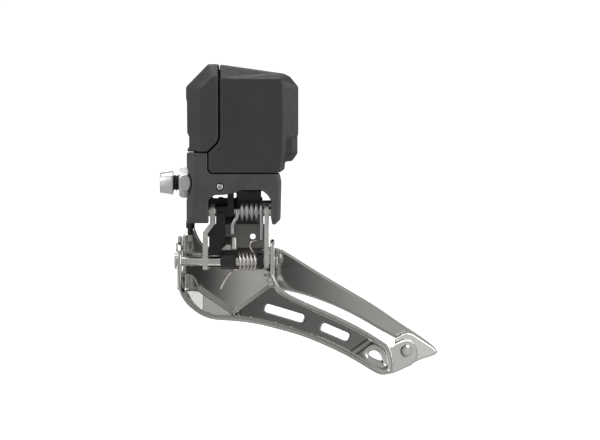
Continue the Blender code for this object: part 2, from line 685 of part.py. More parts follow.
# ---------------------------------------------------------------- cage
INNER_OUTLINE = [
    (-0.5, -32.0), (33.5, -32.0), (35.3, -36.0), (38.2, -39.2), (43.6, -41.9), (50.8, -45.0),
    (58.0, -48.2), (65.2, -51.8), (72.4, -56.2), (75.4, -58.4), (77.4, -68.4), (73.1, -69.1),
    (70.9, -68.4), (62.3, -63.0), (53.6, -58.7), (45.0, -55.1), (36.4, -52.6), (27.7, -50.4),
    (19.0, -49.4), (14.8, -49.3), (10.4, -48.6), (6.1, -46.4), (1.8, -42.5), (-0.4, -37.8),
]
RECESS_FRONT = [
    (18.8, -47.0), (7.4, -39.2), (7.2, -34.0), (7.2, -24.0), (32.9, -24.0), (32.9, -37.4),
    (23.0, -44.2),
]
RECESS_FLOOR = [
    (20.0, -45.7), (9.4, -38.0), (7.9, -33.5), (7.9, -24.0), (32.6, -24.0), (32.6, -34.8),
    (21.5, -44.7),
]
BUMP_FRONT = [
    (18.6, -48.2), (6.0, -39.8), (6.0, -34.0), (6.0, -25.6), (34.2, -25.6), (34.2, -38.2),
    (23.4, -45.6),
]
BUMP_BACK = [
    (20.0, -47.1), (8.2, -38.8), (6.8, -33.7), (6.8, -25.6), (34.0, -25.6), (34.0, -35.4),
    (22.0, -45.9),
]
LEFT_EAR = [
    (-9.3, -36.0), (-9.3, -27.0), (-8.2, -24.6), (-4.0, -21.0), (-1.0, -19.4), (5.0, -19.2),
    (7.6, -20.4), (8.6, -23.0), (8.6, -26.0), (5.0, -29.5), (0.0, -32.5), (-4.0, -38.5), (-9.3, -38.5),
]
TAIL_FLANGE = [
    (75.4, -58.4), (79.6, -56.9), (82.4, -56.2), (84.6, -57.2), (86.0, -60.1), (86.2, -63.0),
    (85.0, -65.5), (79.2, -67.8), (76.6, -68.4),
]


def tail_hole(name, radius, depth):
    """Cutter or shank across both tail flanges, on the rivet's axis."""
    obj = rod(name, radius, -depth, depth)
    return place_on_tail(obj)


def place_on_tail(obj):
    """Put local height along the tail flanges' normal, at the rivet."""
    y = INNER_BACK_Y - SHEET / 2 + (TAIL_RIVET[0] - TAIL_X) * TAIL_SLOPE
    obj.location = (TAIL_RIVET[0] * MM, y * MM, TAIL_RIVET[1] * MM)
    obj.rotation_euler = (-math.pi / 2, 0, TAIL_ANGLE)
    return obj


def build_inner_plate():
    plate = prism_y("inner_plate", INNER_OUTLINE, INNER_FRONT_Y, INNER_BACK_Y)
    link_part(plate, CAGE_STEEL)
    dish = inset(INNER_OUTLINE, RIM)
    cut(plate, prism_y("inner_dish", dish, INNER_FRONT_Y - 1, INNER_BACK_Y - SHEET))
    front = at_y(BUMP_FRONT, INNER_BACK_Y - SHEET)
    join(plate, loft("recess_bump", [front, at_y(BUMP_BACK, FLOOR_Y + SHEET)]))
    pocket = [at_y(RECESS_FRONT, INNER_FRONT_Y - 0.5), at_y(RECESS_FLOOR, FLOOR_Y)]
    cut(plate, loft("recess_room", pocket))
    cut(plate, box("pin_room", (2.0, -11.0, -30.6), (36.0, FLOOR_Y, -23.0)))
    cut(plate, box("left_room", (0.0, -11.0, -32.4), (7.5, 1.0, -23.0)))
    join(plate, prism_x("left_ear", LEFT_EAR, -0.5, 0.9))
    right_ear = stadium((LOWER_NEAR[0], -23.4), (LOWER_NEAR[0] + 0.4, -34.0), 3.2, 3.9, 6)
    join(plate, prism_x("right_ear", right_ear, 32.9, 34.5))
    cut(plate, along_x(rod("cage_near_bore", NEAR_PIN_R + GAP, -3, 37), *LOWER_NEAR))
    window = [(2.0, -33.6), (4.3, -33.8), (5.6, -35.4), (6.4, -38.2), (2.2, -38.6)]
    cut(plate, prism_y("ear_window", window, -12, -5))
    cut(plate, slot("slot_1", (38.0, -46.8), 14.2, 2.9, -16.5, -12, 0))
    cut(plate, slot("slot_2", (56.2, -53.5), 10.3, 2.9, -23.0, -12, 0))
    tail = [
        (68.0, -61.5), (68.9, -60.4), (70.6, -60.1), (72.2, -61.1), (73.6, -64.2), (72.6, -63.9),
        (70.0, -62.8),
    ]
    cut(plate, prism_y("tail_window", tail, -12, -5))
    flange = prism_y("inner_tail", TAIL_FLANGE, INNER_BACK_Y - SHEET, INNER_BACK_Y)
    join(plate, shear_y(flange, TAIL_X, TAIL_SLOPE))
    cut(plate, tail_hole("inner_rivet_hole", 1.6, 8))
    cut(plate, along_x(rod("inner_front_hole", 1.4, -3, 3), *FRONT_RIVET))


OUTER_OUTLINE = [
    (1.2, -19.2), (5.4, -16.6), (6.1, -18.7), (7.2, -20.9), (8.6, -23.0), (10.8, -23.6), (34.6, -23.0),
    (40.0, -26.1), (48.2, -31.3), (59.8, -38.2), (70.6, -44.5), (79.6, -50.8), (86.8, -55.4),
    (92.2, -59.4), (93.6, -61.2), (93.4, -62.3), (90.0, -62.6), (84.0, -60.0), (76.7, -55.8),
    (72.4, -53.6), (65.2, -49.3), (58.0, -45.7), (50.8, -42.8), (43.6, -40.5), (36.0, -38.9),
    (24.0, -38.4), (12.0, -38.8), (4.0, -40.2), (1.2, -39.0),
]
OUTER_FLANGE = [
    (77.6, -56.0), (83.2, -53.8), (88.0, -57.0), (93.2, -60.8), (93.4, -62.2), (88.0, -63.2),
    (86.0, -64.4), (79.6, -66.6),
]


def build_outer_plate():
    plate = prism_y("outer_plate", OUTER_OUTLINE, OUTER_Y - SHEET / 2, OUTER_Y + SHEET / 2)
    shear_y(plate, 0, OUTER_SLOPE)
    link_part(plate, CAGE_STEEL)
    nose = [
        (-1.0, -20.2), (0.5, -19.2), (10.2, -19.2), (10.2, -38.6), (6.0, -38.6), (5.0, -33.0),
        (1.0, -28.0), (-1.0, -26.0),
    ]
    join(plate, prism_x("nose_flange", nose, 1.2, 2.4))
    for name, x in (("left_far_ear", 11.8), ("right_far_ear", 31.2)):
        ear = arc(*LOWER_FAR, 2.6, 120, 250, 6) + [(9.6, -30.5), (9.6, -23.6)]
        join(plate, prism_x(name, ear, x, x + 1.3))
    cut(plate, along_x(rod("cage_far_bore", FAR_PIN_R + GAP, 8, 36), *LOWER_FAR))
    back = INNER_BACK_Y + GAP
    flange = prism_y("outer_tail", OUTER_FLANGE, back, back + SHEET)
    join(plate, shear_y(flange, TAIL_X, TAIL_SLOPE))
    cut(plate, tail_hole("outer_rivet_hole", 1.6, 8))
    cut(plate, along_x(rod("outer_front_hole", 1.4, 0.5, 4), *FRONT_RIVET))


def build_rivets():
    inner = -SHEET / 2 * math.cos(TAIL_ANGLE) - GAP
    outer = (SHEET * 1.5 + GAP) * math.cos(TAIL_ANGLE) + GAP
    profile = [(0, outer + 0.7), (1.6, outer + 0.6), (2.0, outer), (1.3, outer), (1.3, inner)]
    profile += [(2.25, inner), (2.1, inner - 0.5), (1.4, inner - 0.8), (0, inner - 0.8)]
    link_part(place_on_tail(turned("tail_rivet", profile, 20)), BOLT_STEEL)
    profile = [(0, 3.4), (1.4, 3.4), (1.8, 2.7), (1.1, 2.7), (1.1, -0.8), (1.8, -0.8), (1.4, -1.4)]
    profile += [(0, -1.4)]
    link_part(along_x(turned("front_rivet", profile, 16), *FRONT_RIVET), BOLT_STEEL)


def build_lower_axles():
    profile = [(0, 35.7), (1.4, 35.7), (1.7, 35.4), (1.7, -0.8), (3.0, -0.8), (3.0, -1.2)]
    profile += [(2.6, -1.6), (0, -1.6)]
    link_part(along_x(turned("lower_near_axle", profile, 20), *LOWER_NEAR), AXLE_STEEL)
    washer = along_x(collar("near_axle_washer", 2.6, NEAR_PIN_R + GAP, 34.8, 35.3), *LOWER_NEAR)
    link_part(washer, BOLT_STEEL)
    link_part(along_x(rod("lower_far_axle", FAR_PIN_R, 11.0, 33.3), *LOWER_FAR), AXLE_STEEL)
    for name, x0, x1 in (("left_bush", 15.0, 20.6), ("right_bush", 28.3, 30.5)):
        link_part(along_x(collar(name, 3.0, NEAR_PIN_R + GAP, x0, x1), *LOWER_NEAR), BUSH_BLACK)


def build_cage_spring():
    points = coil(LOWER_NEAR, 3.1, 21.1, 27.8, 5, 270, 12)
    y, z = LOWER_NEAR
    lower_leg = [(15.1, -2.6, -38.2), (16.6, -3.2, -35.2), (18.8, -4.0, -31.9), (20.4, y + 0.2, z - 3.4)]
    upper_leg = [
        (27.95, y + 2.1, z - 2.3), (27.8, y + 2.9, z + 0.6), (26.4, -3.95, -24.6), (25.6, -3.95, -22.8),
        (26.2, -3.95, -21.3), (28.0, -3.95, -20.7),
    ]
    spring = wire("cage_spring", lower_leg + points + upper_leg, 0.32)
    hang_on(spring, 0, *LOWER_NEAR)
    link_part(spring, SPRING_STEEL)


def build():
    build_motor_housing()
    build_housing_cover()
    build_cover_seal()
    build_cover_screws()
    build_side_cover()
    build_port_plug()
    build_circuit_board()
    build_motor()
    build_worm()
    build_gears()
    build_bracket()
    build_clamp_nut()
    build_clamp_bolt()
    build_support_bolt()
    build_adjust_screw()
    build_upper_axles()
    build_near_link()
    build_drive_lever()
    build_saver_spring()
    build_far_link()
    build_inner_plate()
    build_outer_plate()
    build_rivets()
    build_lower_axles()
    build_cage_spring()
    bpy.context.view_layer.update()


build()
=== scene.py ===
"""Looks of the electronic front derailleur: finished shells, plates, springs, screws and materials."""
import json
import math

import bmesh
import bpy
import numpy as np
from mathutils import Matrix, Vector, geometry

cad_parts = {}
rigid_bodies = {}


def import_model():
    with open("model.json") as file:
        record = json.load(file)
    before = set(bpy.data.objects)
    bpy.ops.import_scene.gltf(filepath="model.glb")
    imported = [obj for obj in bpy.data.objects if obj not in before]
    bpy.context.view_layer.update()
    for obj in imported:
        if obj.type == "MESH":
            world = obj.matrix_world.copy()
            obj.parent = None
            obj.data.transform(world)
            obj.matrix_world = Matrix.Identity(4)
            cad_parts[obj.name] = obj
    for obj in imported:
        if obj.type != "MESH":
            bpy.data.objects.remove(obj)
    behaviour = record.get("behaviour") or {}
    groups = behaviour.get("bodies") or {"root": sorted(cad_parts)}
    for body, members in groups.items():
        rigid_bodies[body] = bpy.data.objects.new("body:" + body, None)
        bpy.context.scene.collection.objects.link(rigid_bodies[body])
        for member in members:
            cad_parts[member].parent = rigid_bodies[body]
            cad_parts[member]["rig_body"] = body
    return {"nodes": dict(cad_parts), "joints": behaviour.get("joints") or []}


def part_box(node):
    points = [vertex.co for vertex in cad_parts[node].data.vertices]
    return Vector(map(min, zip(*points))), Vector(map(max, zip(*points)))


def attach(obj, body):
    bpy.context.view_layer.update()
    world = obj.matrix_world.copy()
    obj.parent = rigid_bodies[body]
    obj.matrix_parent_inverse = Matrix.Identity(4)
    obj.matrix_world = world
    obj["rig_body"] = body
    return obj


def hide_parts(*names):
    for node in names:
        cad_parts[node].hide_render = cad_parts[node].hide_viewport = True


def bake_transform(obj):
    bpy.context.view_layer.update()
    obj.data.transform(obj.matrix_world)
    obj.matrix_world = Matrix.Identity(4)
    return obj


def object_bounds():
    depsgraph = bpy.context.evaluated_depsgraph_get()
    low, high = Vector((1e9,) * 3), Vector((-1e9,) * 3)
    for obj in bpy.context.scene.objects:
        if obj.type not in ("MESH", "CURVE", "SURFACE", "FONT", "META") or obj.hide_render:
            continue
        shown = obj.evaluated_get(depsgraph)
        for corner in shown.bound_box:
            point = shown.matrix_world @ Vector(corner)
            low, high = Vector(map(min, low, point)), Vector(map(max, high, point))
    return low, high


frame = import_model()
cad_low, cad_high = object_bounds()
NODES = frame["nodes"]
JOINTS = {joint["name"]: joint for joint in frame["joints"]}
MM = 0.001

# ---------------------------------------------------------------- pivots, from the frame (mm)


def pivot_of(joint):
    """(Y, Z) of a hinge whose axis runs along X, in millimetres."""
    return JOINTS[joint]["pos_m"][1] / MM, JOINTS[joint]["pos_m"][2] / MM


UPPER_NEAR = pivot_of("linkage_swing")
UPPER_FAR = pivot_of("far_link_swing")
LOWER_NEAR = pivot_of("cage_pivot")
LOWER_FAR = (UPPER_FAR[0] + LOWER_NEAR[0] - UPPER_NEAR[0], UPPER_FAR[1] + LOWER_NEAR[1] - UPPER_NEAR[1])


def span(node, axis):
    """Lowest and highest value of a CAD node along an axis, in millimetres."""
    low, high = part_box(node)
    return low[axis] / MM, high[axis] / MM


# ---------------------------------------------------------------- materials
class Nodes:
    """A material's node tree, with short calls to add and join nodes."""

    def __init__(self, name):
        self.material = bpy.data.materials.new(name)
        self.material.use_nodes = True
        self.tree = self.material.node_tree
        self.shader = self.tree.nodes["Principled BSDF"]
        self.place = self.tree.nodes.new("ShaderNodeTexCoord").outputs["Object"]

    def add(self, kind, **inputs):
        node = self.tree.nodes.new(kind)
        for key, value in inputs.items():
            node.inputs[key.replace("_", " ")].default_value = value
        return node

    def join(self, source, target):
        self.tree.links.new(source, target)

    def noise(self, scale, detail=3.0, stretch=(1, 1, 1), roughness=0.5):
        mapping = self.tree.nodes.new("ShaderNodeMapping")
        mapping.inputs["Scale"].default_value = stretch
        self.join(self.place, mapping.inputs["Vector"])
        node = self.add("ShaderNodeTexNoise", Scale=scale, Detail=detail, Roughness=roughness)
        self.join(mapping.outputs["Vector"], node.inputs["Vector"])
        return node.outputs["Fac"]

    def ramp(self, source, low, high, start=0.35, end=0.65):
        node = self.tree.nodes.new("ShaderNodeMapRange")
        node.inputs["From Min"].default_value = start
        node.inputs["From Max"].default_value = end
        node.inputs["To Min"].default_value = low
        node.inputs["To Max"].default_value = high
        self.join(source, node.inputs["Value"])
        return node.outputs["Result"]

    def colours(self, source, dark, light, start=0.3, end=0.7):
        node = self.tree.nodes.new("ShaderNodeValToRGB")
        node.color_ramp.elements[0].position = start
        node.color_ramp.elements[0].color = (*dark, 1)
        node.color_ramp.elements[1].position = end
        node.color_ramp.elements[1].color = (*light, 1)
        self.join(source, node.inputs["Fac"])
        return node.outputs["Color"]

    def bump(self, height, strength, distance):
        node = self.add("ShaderNodeBump", Strength=strength, Distance=distance)
        self.join(height, node.inputs["Height"])
        return node


def plastic(name, dark, light, roughness):
    """Moulded plastic with a fine spark-eroded grain."""
    nodes = Nodes(name)
    broad = nodes.noise(60, 2)
    nodes.join(nodes.colours(broad, dark, light), nodes.shader.inputs["Base Color"])
    grain = nodes.noise(5200, 2, roughness=0.6)
    low, high = roughness
    nodes.join(nodes.ramp(nodes.noise(900, 4), low, high), nodes.shader.inputs["Roughness"])
    nodes.join(nodes.bump(grain, 0.25, 0.00004).outputs["Normal"], nodes.shader.inputs["Normal"])
    nodes.shader.inputs["Specular IOR Level"].default_value = 0.45
    return nodes.material


def coated_metal(name, dark, light, roughness, sparkle=0.3):
    """Black anodised or painted casting: a slightly grainy satin skin."""
    nodes = Nodes(name)
    colour = nodes.colours(nodes.noise(140, 3), dark, light)
    nodes.join(colour, nodes.shader.inputs["Base Color"])
    grain = nodes.noise(3600, 3)
    low, high = roughness
    nodes.join(nodes.ramp(nodes.noise(700, 4), low, high), nodes.shader.inputs["Roughness"])
    nodes.join(nodes.bump(grain, sparkle, 0.00003).outputs["Normal"], nodes.shader.inputs["Normal"])
    nodes.shader.inputs["Metallic"].default_value = 0.35
    return nodes.material


def metal(name, dark, light, roughness, grain=(1, 1, 1), grain_scale=900, depth=0.00001, strength=0.3):
    """Bare or plated metal; grain stretches the fine lines of rolling or drawing."""
    nodes = Nodes(name)
    colour = nodes.colours(nodes.noise(120, 3), dark, light)
    nodes.join(colour, nodes.shader.inputs["Base Color"])
    lines = nodes.noise(grain_scale, 4, grain)
    low, high = roughness
    nodes.join(nodes.ramp(lines, low, high), nodes.shader.inputs["Roughness"])
    nodes.join(nodes.bump(lines, strength, depth).outputs["Normal"], nodes.shader.inputs["Normal"])
    nodes.shader.inputs["Metallic"].default_value = 1.0
    return nodes.material


HOUSING = plastic("housing_plastic", (0.017, 0.017, 0.018), (0.021, 0.021, 0.023), (0.42, 0.55))
SIDE = plastic("side_cover_plastic", (0.022, 0.022, 0.025), (0.027, 0.027, 0.030), (0.40, 0.52))
SEAL = plastic("seal_rubber", (0.010, 0.010, 0.010), (0.016, 0.016, 0.016), (0.7, 0.85))
BUSH = plastic("bush_plastic", (0.006, 0.006, 0.006), (0.012, 0.012, 0.012), (0.28, 0.4))
BOARD = plastic("board_lacquer", (0.01, 0.09, 0.035), (0.02, 0.14, 0.06), (0.2, 0.35))
BRACKET = coated_metal("bracket_black", (0.045, 0.045, 0.048), (0.06, 0.06, 0.064), (0.36, 0.48))
LEVER = coated_metal("lever_black_oxide", (0.006, 0.006, 0.006), (0.012, 0.012, 0.011), (0.3, 0.45))
LINK = metal(
    "link_satin_steel", (0.60, 0.60, 0.57), (0.70, 0.70, 0.67), (0.34, 0.5),
    grain_scale=1600, depth=0.00002,
)
# The link's own satin steel painted darker as painted shade, for the web behind the springs and for the far
# link behind the near parts.
LINK_PAINTED_SHADE = metal(
    "link_web_painted_shade", (0.16, 0.16, 0.15), (0.21, 0.21, 0.20), (0.36, 0.5),
    grain_scale=1600, depth=0.00002,
)
PLATE = metal(
    "cage_plated_steel", (0.56, 0.555, 0.53), (0.60, 0.595, 0.57), (0.10, 0.14),
    grain=(0.25, 1, 1), grain_scale=120, depth=0.0000004, strength=0.05,
)
BOLT = metal(
    "bolt_satin_steel", (0.66, 0.66, 0.65), (0.76, 0.76, 0.75), (0.28, 0.34),
    grain_scale=60, depth=0.000001, strength=0.05,
)
# The bolt's steel painted near black: painted shade in the grooves of the clamp bolt's thread.
THREAD_PAINTED_SHADE = metal("thread_painted_shade_steel", (0.05, 0.05, 0.05), (0.1, 0.1, 0.1), (0.35, 0.5))
AXLE = metal("axle_polished_steel", (0.55, 0.55, 0.52), (0.66, 0.66, 0.63), (0.14, 0.24), (0.2, 1, 1), 1500)
WIRE = metal(
    "spring_wire", (0.42, 0.42, 0.42), (0.48, 0.48, 0.48), (0.42, 0.5),
    grain_scale=2400, depth=0.000001, strength=0.05,
)
THIN_WIRE = metal("thin_spring_wire", (0.62, 0.57, 0.54), (0.72, 0.67, 0.64), (0.18, 0.3), (1, 1, 1), 2400)
ACETAL = plastic("gear_acetal", (0.010, 0.010, 0.010), (0.018, 0.018, 0.018), (0.3, 0.4))


# ---------------------------------------------------------------- mesh helpers (mm in, metres out)
def new_object(name, bm):
    mesh = bpy.data.meshes.new(name)
    bm.to_mesh(mesh)
    bm.free()
    obj = bpy.data.objects.new(name, mesh)
    bpy.context.scene.collection.objects.link(obj)
    return obj


def paint(obj, material):
    obj.data.materials.clear()
    obj.data.materials.append(material)
    return obj


def smooth(obj, angle=35):
    """Smooth shading with sharp edges above an angle."""
    obj.data.shade_smooth()
    obj.data.set_sharp_from_angle(angle=math.radians(angle))
    return obj


def bake(obj):
    """Apply the object's modifiers and transform to its mesh."""
    bpy.context.view_layer.update()
    depsgraph = bpy.context.evaluated_depsgraph_get()
    mesh = bpy.data.meshes.new_from_object(obj.evaluated_get(depsgraph))
    mesh.transform(obj.matrix_world)
    name = obj.name
    bpy.data.objects.remove(obj)
    fresh = bpy.data.objects.new(name, mesh)
    bpy.context.scene.collection.objects.link(fresh)
    return fresh


def round_edges(obj, width, segments=3, angle=28):
    """Fillet edges sharper than angle, keep flat faces flat in shading."""
    bevel = obj.modifiers.new("fillet", "BEVEL")
    bevel.width = width * MM
    bevel.segments = segments
    bevel.limit_method = "ANGLE"
    bevel.angle_limit = math.radians(angle)
    bevel.harden_normals = True
    bevel.use_clamp_overlap = True
    bevel.miter_outer = "MITER_ARC"
    return obj


def refined(node, material, width, angle=28):
    """A finished copy of a CAD node: coplanar triangles merged, edges filleted."""
    bm = bmesh.new()
    bm.from_mesh(NODES[node].data)
    bmesh.ops.remove_doubles(bm, verts=bm.verts, dist=1e-6)
    bmesh.ops.dissolve_limit(bm, angle_limit=math.radians(0.6), verts=bm.verts, edges=bm.edges)
    obj = new_object(node + "_finish", bm)
    smooth(obj, angle)
    round_edges(obj, width, angle=angle)
    return place(obj, material, node)


def place(obj, material, *nodes):
    """Give a piece its material, let it ride on its node's body and stand for the nodes."""
    paint(obj, material)
    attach(obj, NODES[nodes[0]]["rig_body"])
    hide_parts(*nodes)
    return obj


def turned(name, profile, steps=64, ring=False):
    """Screw of a (radius, height) profile, top to bottom on the outer side."""
    bm = bmesh.new()
    verts = [bm.verts.new((r * MM, 0.0, h * MM)) for r, h in profile]
    for a, b in zip(verts, verts[1:]):
        bm.edges.new((a, b))
    if ring:
        bm.edges.new((verts[-1], verts[0]))
    obj = new_object(name, bm)
    screw = obj.modifiers.new("turn", "SCREW")
    screw.axis = "Z"
    screw.steps = steps
    screw.render_steps = steps
    screw.use_merge_vertices = True
    screw.merge_threshold = 1e-6
    return obj


def along_x(obj, y=0.0, z=0.0):
    obj.rotation_euler = (0, math.pi / 2, 0)
    obj.location = (0, y * MM, z * MM)
    return obj


def along_y(obj, x=0.0, z=0.0):
    obj.rotation_euler = (-math.pi / 2, 0, 0)
    obj.location = (x * MM, 0, z * MM)
    return obj


def wire(name, points, radius):
    """Round wire along a line of close points (mm)."""
    curve = bpy.data.curves.new(name, "CURVE")
    curve.dimensions = "3D"
    curve.bevel_depth = radius * MM
    curve.bevel_resolution = 6
    curve.use_fill_caps = True
    spline = curve.splines.new("POLY")
    spline.points.add(len(points) - 1)
    for point, co in zip(spline.points, points):
        point.co = (*[c * MM for c in co], 1.0)
    obj = bpy.data.objects.new(name, curve)
    bpy.context.scene.collection.objects.link(obj)
    fresh = bake(obj)
    bm = bmesh.new()
    bm.from_mesh(fresh.data)
    bmesh.ops.remove_doubles(bm, verts=bm.verts, dist=1e-7)
    bm.to_mesh(fresh.data)
    bm.free()
    return smooth(fresh, 50)


def coil(pivot, radius, x0, x1, turns, start, per_turn=48):
    """Helix round an X axis; start is the angle in degrees from +Y towards +Z."""
    count = int(round(turns * per_turn))
    points = []
    for i in range(count + 1):
        angle = math.radians(start) + 2 * math.pi * turns * i / count
        y = pivot[0] + radius * math.cos(angle)
        z = pivot[1] + radius * math.sin(angle)
        points.append((x0 + (x1 - x0) * i / count, y, z))
    return points


def eased(points, steps=8):
    """Catmull-Rom curve through hand-set points, for spring legs."""
    result = []
    count = len(points)
    vectors = [Vector(p) for p in points]
    for i in range(count - 1):
        p0 = vectors[max(i - 1, 0)]
        p1, p2 = vectors[i], vectors[i + 1]
        p3 = vectors[min(i + 2, count - 1)]
        for k in range(steps):
            t = k / steps
            point = 0.5 * (2 * p1 + (p2 - p0) * t + (2 * p0 - 5 * p1 + 4 * p2 - p3) * t * t
                           + (3 * p1 - p0 - 3 * p2 + p3) * t ** 3)
            result.append(tuple(point))
    result.append(tuple(vectors[-1]))
    return result


# ---------------------------------------------------------------- motor unit and bracket
def moulded(node, material, voxel, softness):
    """A finished copy of a CAD node with every edge softened, as a moulding or casting has."""
    obj = new_object(node + "_moulded", bmesh.new())
    obj.data = NODES[node].data.copy()
    remesh = obj.modifiers.new("skin", "REMESH")
    remesh.mode = "VOXEL"
    remesh.voxel_size = voxel * MM
    soften = obj.modifiers.new("soften", "SMOOTH")
    soften.factor = 0.5
    soften.iterations = softness
    fresh = bake(obj)
    fresh.data.shade_smooth()
    return place(fresh, material, node)


GROOVE = [(14.4, 41.0), (14.4, 16.7), (10.8, 11.55), (5.2, 11.3)]
GROOVE_LEVEL_Z = 12
LIP_HALF_DEPTH = 1.5


def build_groove_shade_lip():
    """The lip on which the side cover sits; its dark seal rubber is painted shade, the shadow in the gap
    seen as the dark line in the groove.
    """
    left = [(x - 1.5, z + (0.8 if z < GROOVE_LEVEL_Z else 0.5)) for x, z in GROOVE]
    right = [(x + 1.3, z - (0.9 if z < GROOVE_LEVEL_Z else 0.5)) for x, z in GROOVE]
    lip = bent_strip("motor_housing_groove_shade_lip", left + right[::-1], "Y", -LIP_HALF_DEPTH,
                     LIP_HALF_DEPTH)
    # Dark seal rubber on the lip: painted shade in the groove between cover and housing.
    paint(lip, SEAL)
    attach(lip, NODES["motor_housing"]["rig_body"])


def build_port_boss():
    """Rounded upright boss over the wire port."""
    profile = [(0, 16.8), (1.9, 16.8), *fillet(1.9, 15.8, 1.0, 90, 0, 5), (2.9, 11.2)]
    profile += [*fillet(1.9, 11.2, 1.0, 0, -90, 5), (0, 10.2)]
    boss = turned("motor_housing_port_boss", profile, 64)
    boss.location = (39.7 * MM, -6.3 * MM, 0)
    boss = bake(boss)
    paint(smooth(boss, 60), HOUSING)
    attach(boss, NODES["motor_housing"]["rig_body"])


def build_shells():
    moulded("motor_housing", HOUSING, 0.36, 8)
    moulded("housing_cover", HOUSING, 0.36, 8)
    moulded("side_cover", SIDE, 0.36, 7)
    moulded("bracket", BRACKET, 0.3, 4)
    build_groove_shade_lip()
    build_port_boss()
    refined("circuit_board", BOARD, 0.1)
    paint(NODES["cover_seal"], SEAL)


def hexagon(radius):
    """Radius of a hexagon at an angle in degrees, one corner up."""
    def at(angle):
        return radius * math.cos(math.pi / 6) / math.cos(math.radians(angle % 60 - 30))
    return at


def circle(radius):
    def at(angle):
        return radius
    return at


def ringed(name, rings, closed=False, around=96):
    """Skin over rings along X, each an (x, radius function) pair; ends close on the axis."""
    bm = bmesh.new()
    loops = []
    for x, radius_at in rings:
        loop = []
        for i in range(around):
            angle = 360 * i / around
            r = radius_at(angle)
            loop.append(bm.verts.new((x * MM, r * math.sin(math.radians(angle)) * MM,
                                      r * math.cos(math.radians(angle)) * MM)))
        loops.append(loop)
    pairs = list(zip(loops, loops[1:]))
    if closed:
        pairs.append((loops[-1], loops[0]))
    else:
        bm.faces.new(loops[0])
        bm.faces.new(loops[-1][::-1])
    for loop, following in pairs:
        for i in range(around):
            j = (i + 1) % around
            bm.faces.new((loop[i], following[i], following[j], loop[j]))
    bmesh.ops.recalc_face_normals(bm, faces=bm.faces)
    return new_object(name, bm)


def fillet(cx, cy, radius, start, end, steps=6):
    """Profile points round a corner; angles in degrees."""
    angles = [math.radians(start + (end - start) * i / steps) for i in range(steps + 1)]
    return [(cx + radius * math.cos(a), cy + radius * math.sin(a)) for a in angles]


def threaded(name, radius, depth, pitch, h0, h1, around=48, rows_per_pitch=10):
    """Closed bar with a helical V thread, along local Z."""
    bm = bmesh.new()
    rows = int((h1 - h0) / pitch * rows_per_pitch)
    rings = []
    for row in range(rows + 1):
        height = h0 + (h1 - h0) * row / rows
        ends = min(1.0, (h1 - height) / pitch)
        ring = []
        for i in range(around):
            angle = 2 * math.pi * i / around
            phase = (height / pitch - i / around) % 1.0
            r = radius - depth * (1 - ends * abs(2 * phase - 1))
            ring.append(bm.verts.new((r * math.cos(angle) * MM, r * math.sin(angle) * MM, height * MM)))
        rings.append(ring)
    for ring, following in zip(rings, rings[1:]):
        for i in range(around):
            j = (i + 1) % around
            bm.faces.new((ring[i], ring[j], following[j], following[i]))
    bm.faces.new(rings[0][::-1])
    bm.faces.new(rings[-1])
    return new_object(name, bm)


def lesser(first, second):
    def at(angle):
        return min(first(angle), second(angle))
    return at


def build_nut():
    """Chamfered hexagon nut; the chamfer is a cone that cuts the six corners."""
    flats = hexagon(5.5)
    profile = [(4.75, 0.0), (4.95, 0.15), (5.1, 0.35), (5.25, 0.6), (5.4, 0.9), (5.5, 1.2)]
    profile += [(5.5, 3.0), (5.38, 3.25), (5.2, 3.55), (5.0, 3.8)]
    profile += [(4.78, 4.05), (4.5, 4.3), (4.15, 4.45), (4.0, 4.5)]
    rings = [(x, lesser(flats, circle(radius))) for radius, x in profile]
    rings += [(4.5, circle(3.3)), (4.4, circle(3.2)), (0.1, circle(3.2)), (0.0, circle(3.3))]
    place(smooth(ringed("clamp_nut_hex", rings, True), 20), BOLT, "clamp_nut")


def build_clamp_bolt():
    head = [(3.6, -2.1), *fillet(3.95, -2.45, 0.35, 90, 0, 4), (4.3, -2.75)]
    head += [*fillet(4.0, -3.1, 0.3, 0, -70, 4), (3.72, -6.5), *fillet(3.25, -6.55, 0.45, 0, -90)]
    rings = [(x, circle(radius)) for radius, x in head]
    rings += [(-7.0, hexagon(3.0)), (-6.9, hexagon(2.9)), (-4.0, hexagon(2.9))]
    place(smooth(ringed("clamp_bolt_head", rings), 30), BOLT, "clamp_bolt")
    # The thread is the same steel as the head, painted near black as painted shade.
    shank = bake(along_x(threaded("clamp_bolt_thread", 2.95, 0.5, 1.0, -2.0, 8.6)))
    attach(paint(smooth(shank, 50), THREAD_PAINTED_SHADE), NODES["clamp_bolt"]["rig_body"])


def build_support_bolt():
    tip = [(0, 14.9), (1.9, 14.9), *fillet(1.9, 14.6, 0.3, 90, 0, 4)]
    tip += [(2.2, 13.1), (1.15, 13.1), (1.15, -9.6)]
    tip += [*fillet(0.75, -9.7, 0.4, 0, -90, 5), (0.55, -10.1), (0.5, -10.0), (0.45, -8.6), (0, -8.6)]
    x0, x1 = span("support_bolt", 0)
    z0, z1 = span("support_bolt", 2)
    obj = bake(along_y(turned("support_bolt_turned", tip), (x0 + x1) / 2, (z0 + z1) / 2))
    place(smooth(obj), BOLT, "support_bolt")


def build_fixings():
    build_nut()
    build_clamp_bolt()
    build_support_bolt()
    paint(NODES["low_adjust_screw"], LEVER)
    for number in range(1, 5):
        paint(NODES[f"cover_screw_{number}"], BOLT)
    paint(NODES["port_plug"], SEAL)


def build_inside():
    for node, material in (
        ("motor_can", BOLT), ("motor_shaft", AXLE), ("worm", AXLE), ("output_shaft", AXLE),
        ("output_pinion", BOLT), ("worm_wheel", ACETAL),
    ):
        paint(NODES[node], material)


# ---------------------------------------------------------------- linkage
WEB_LEFT, WEB_RIGHT = 13.2, 30.6


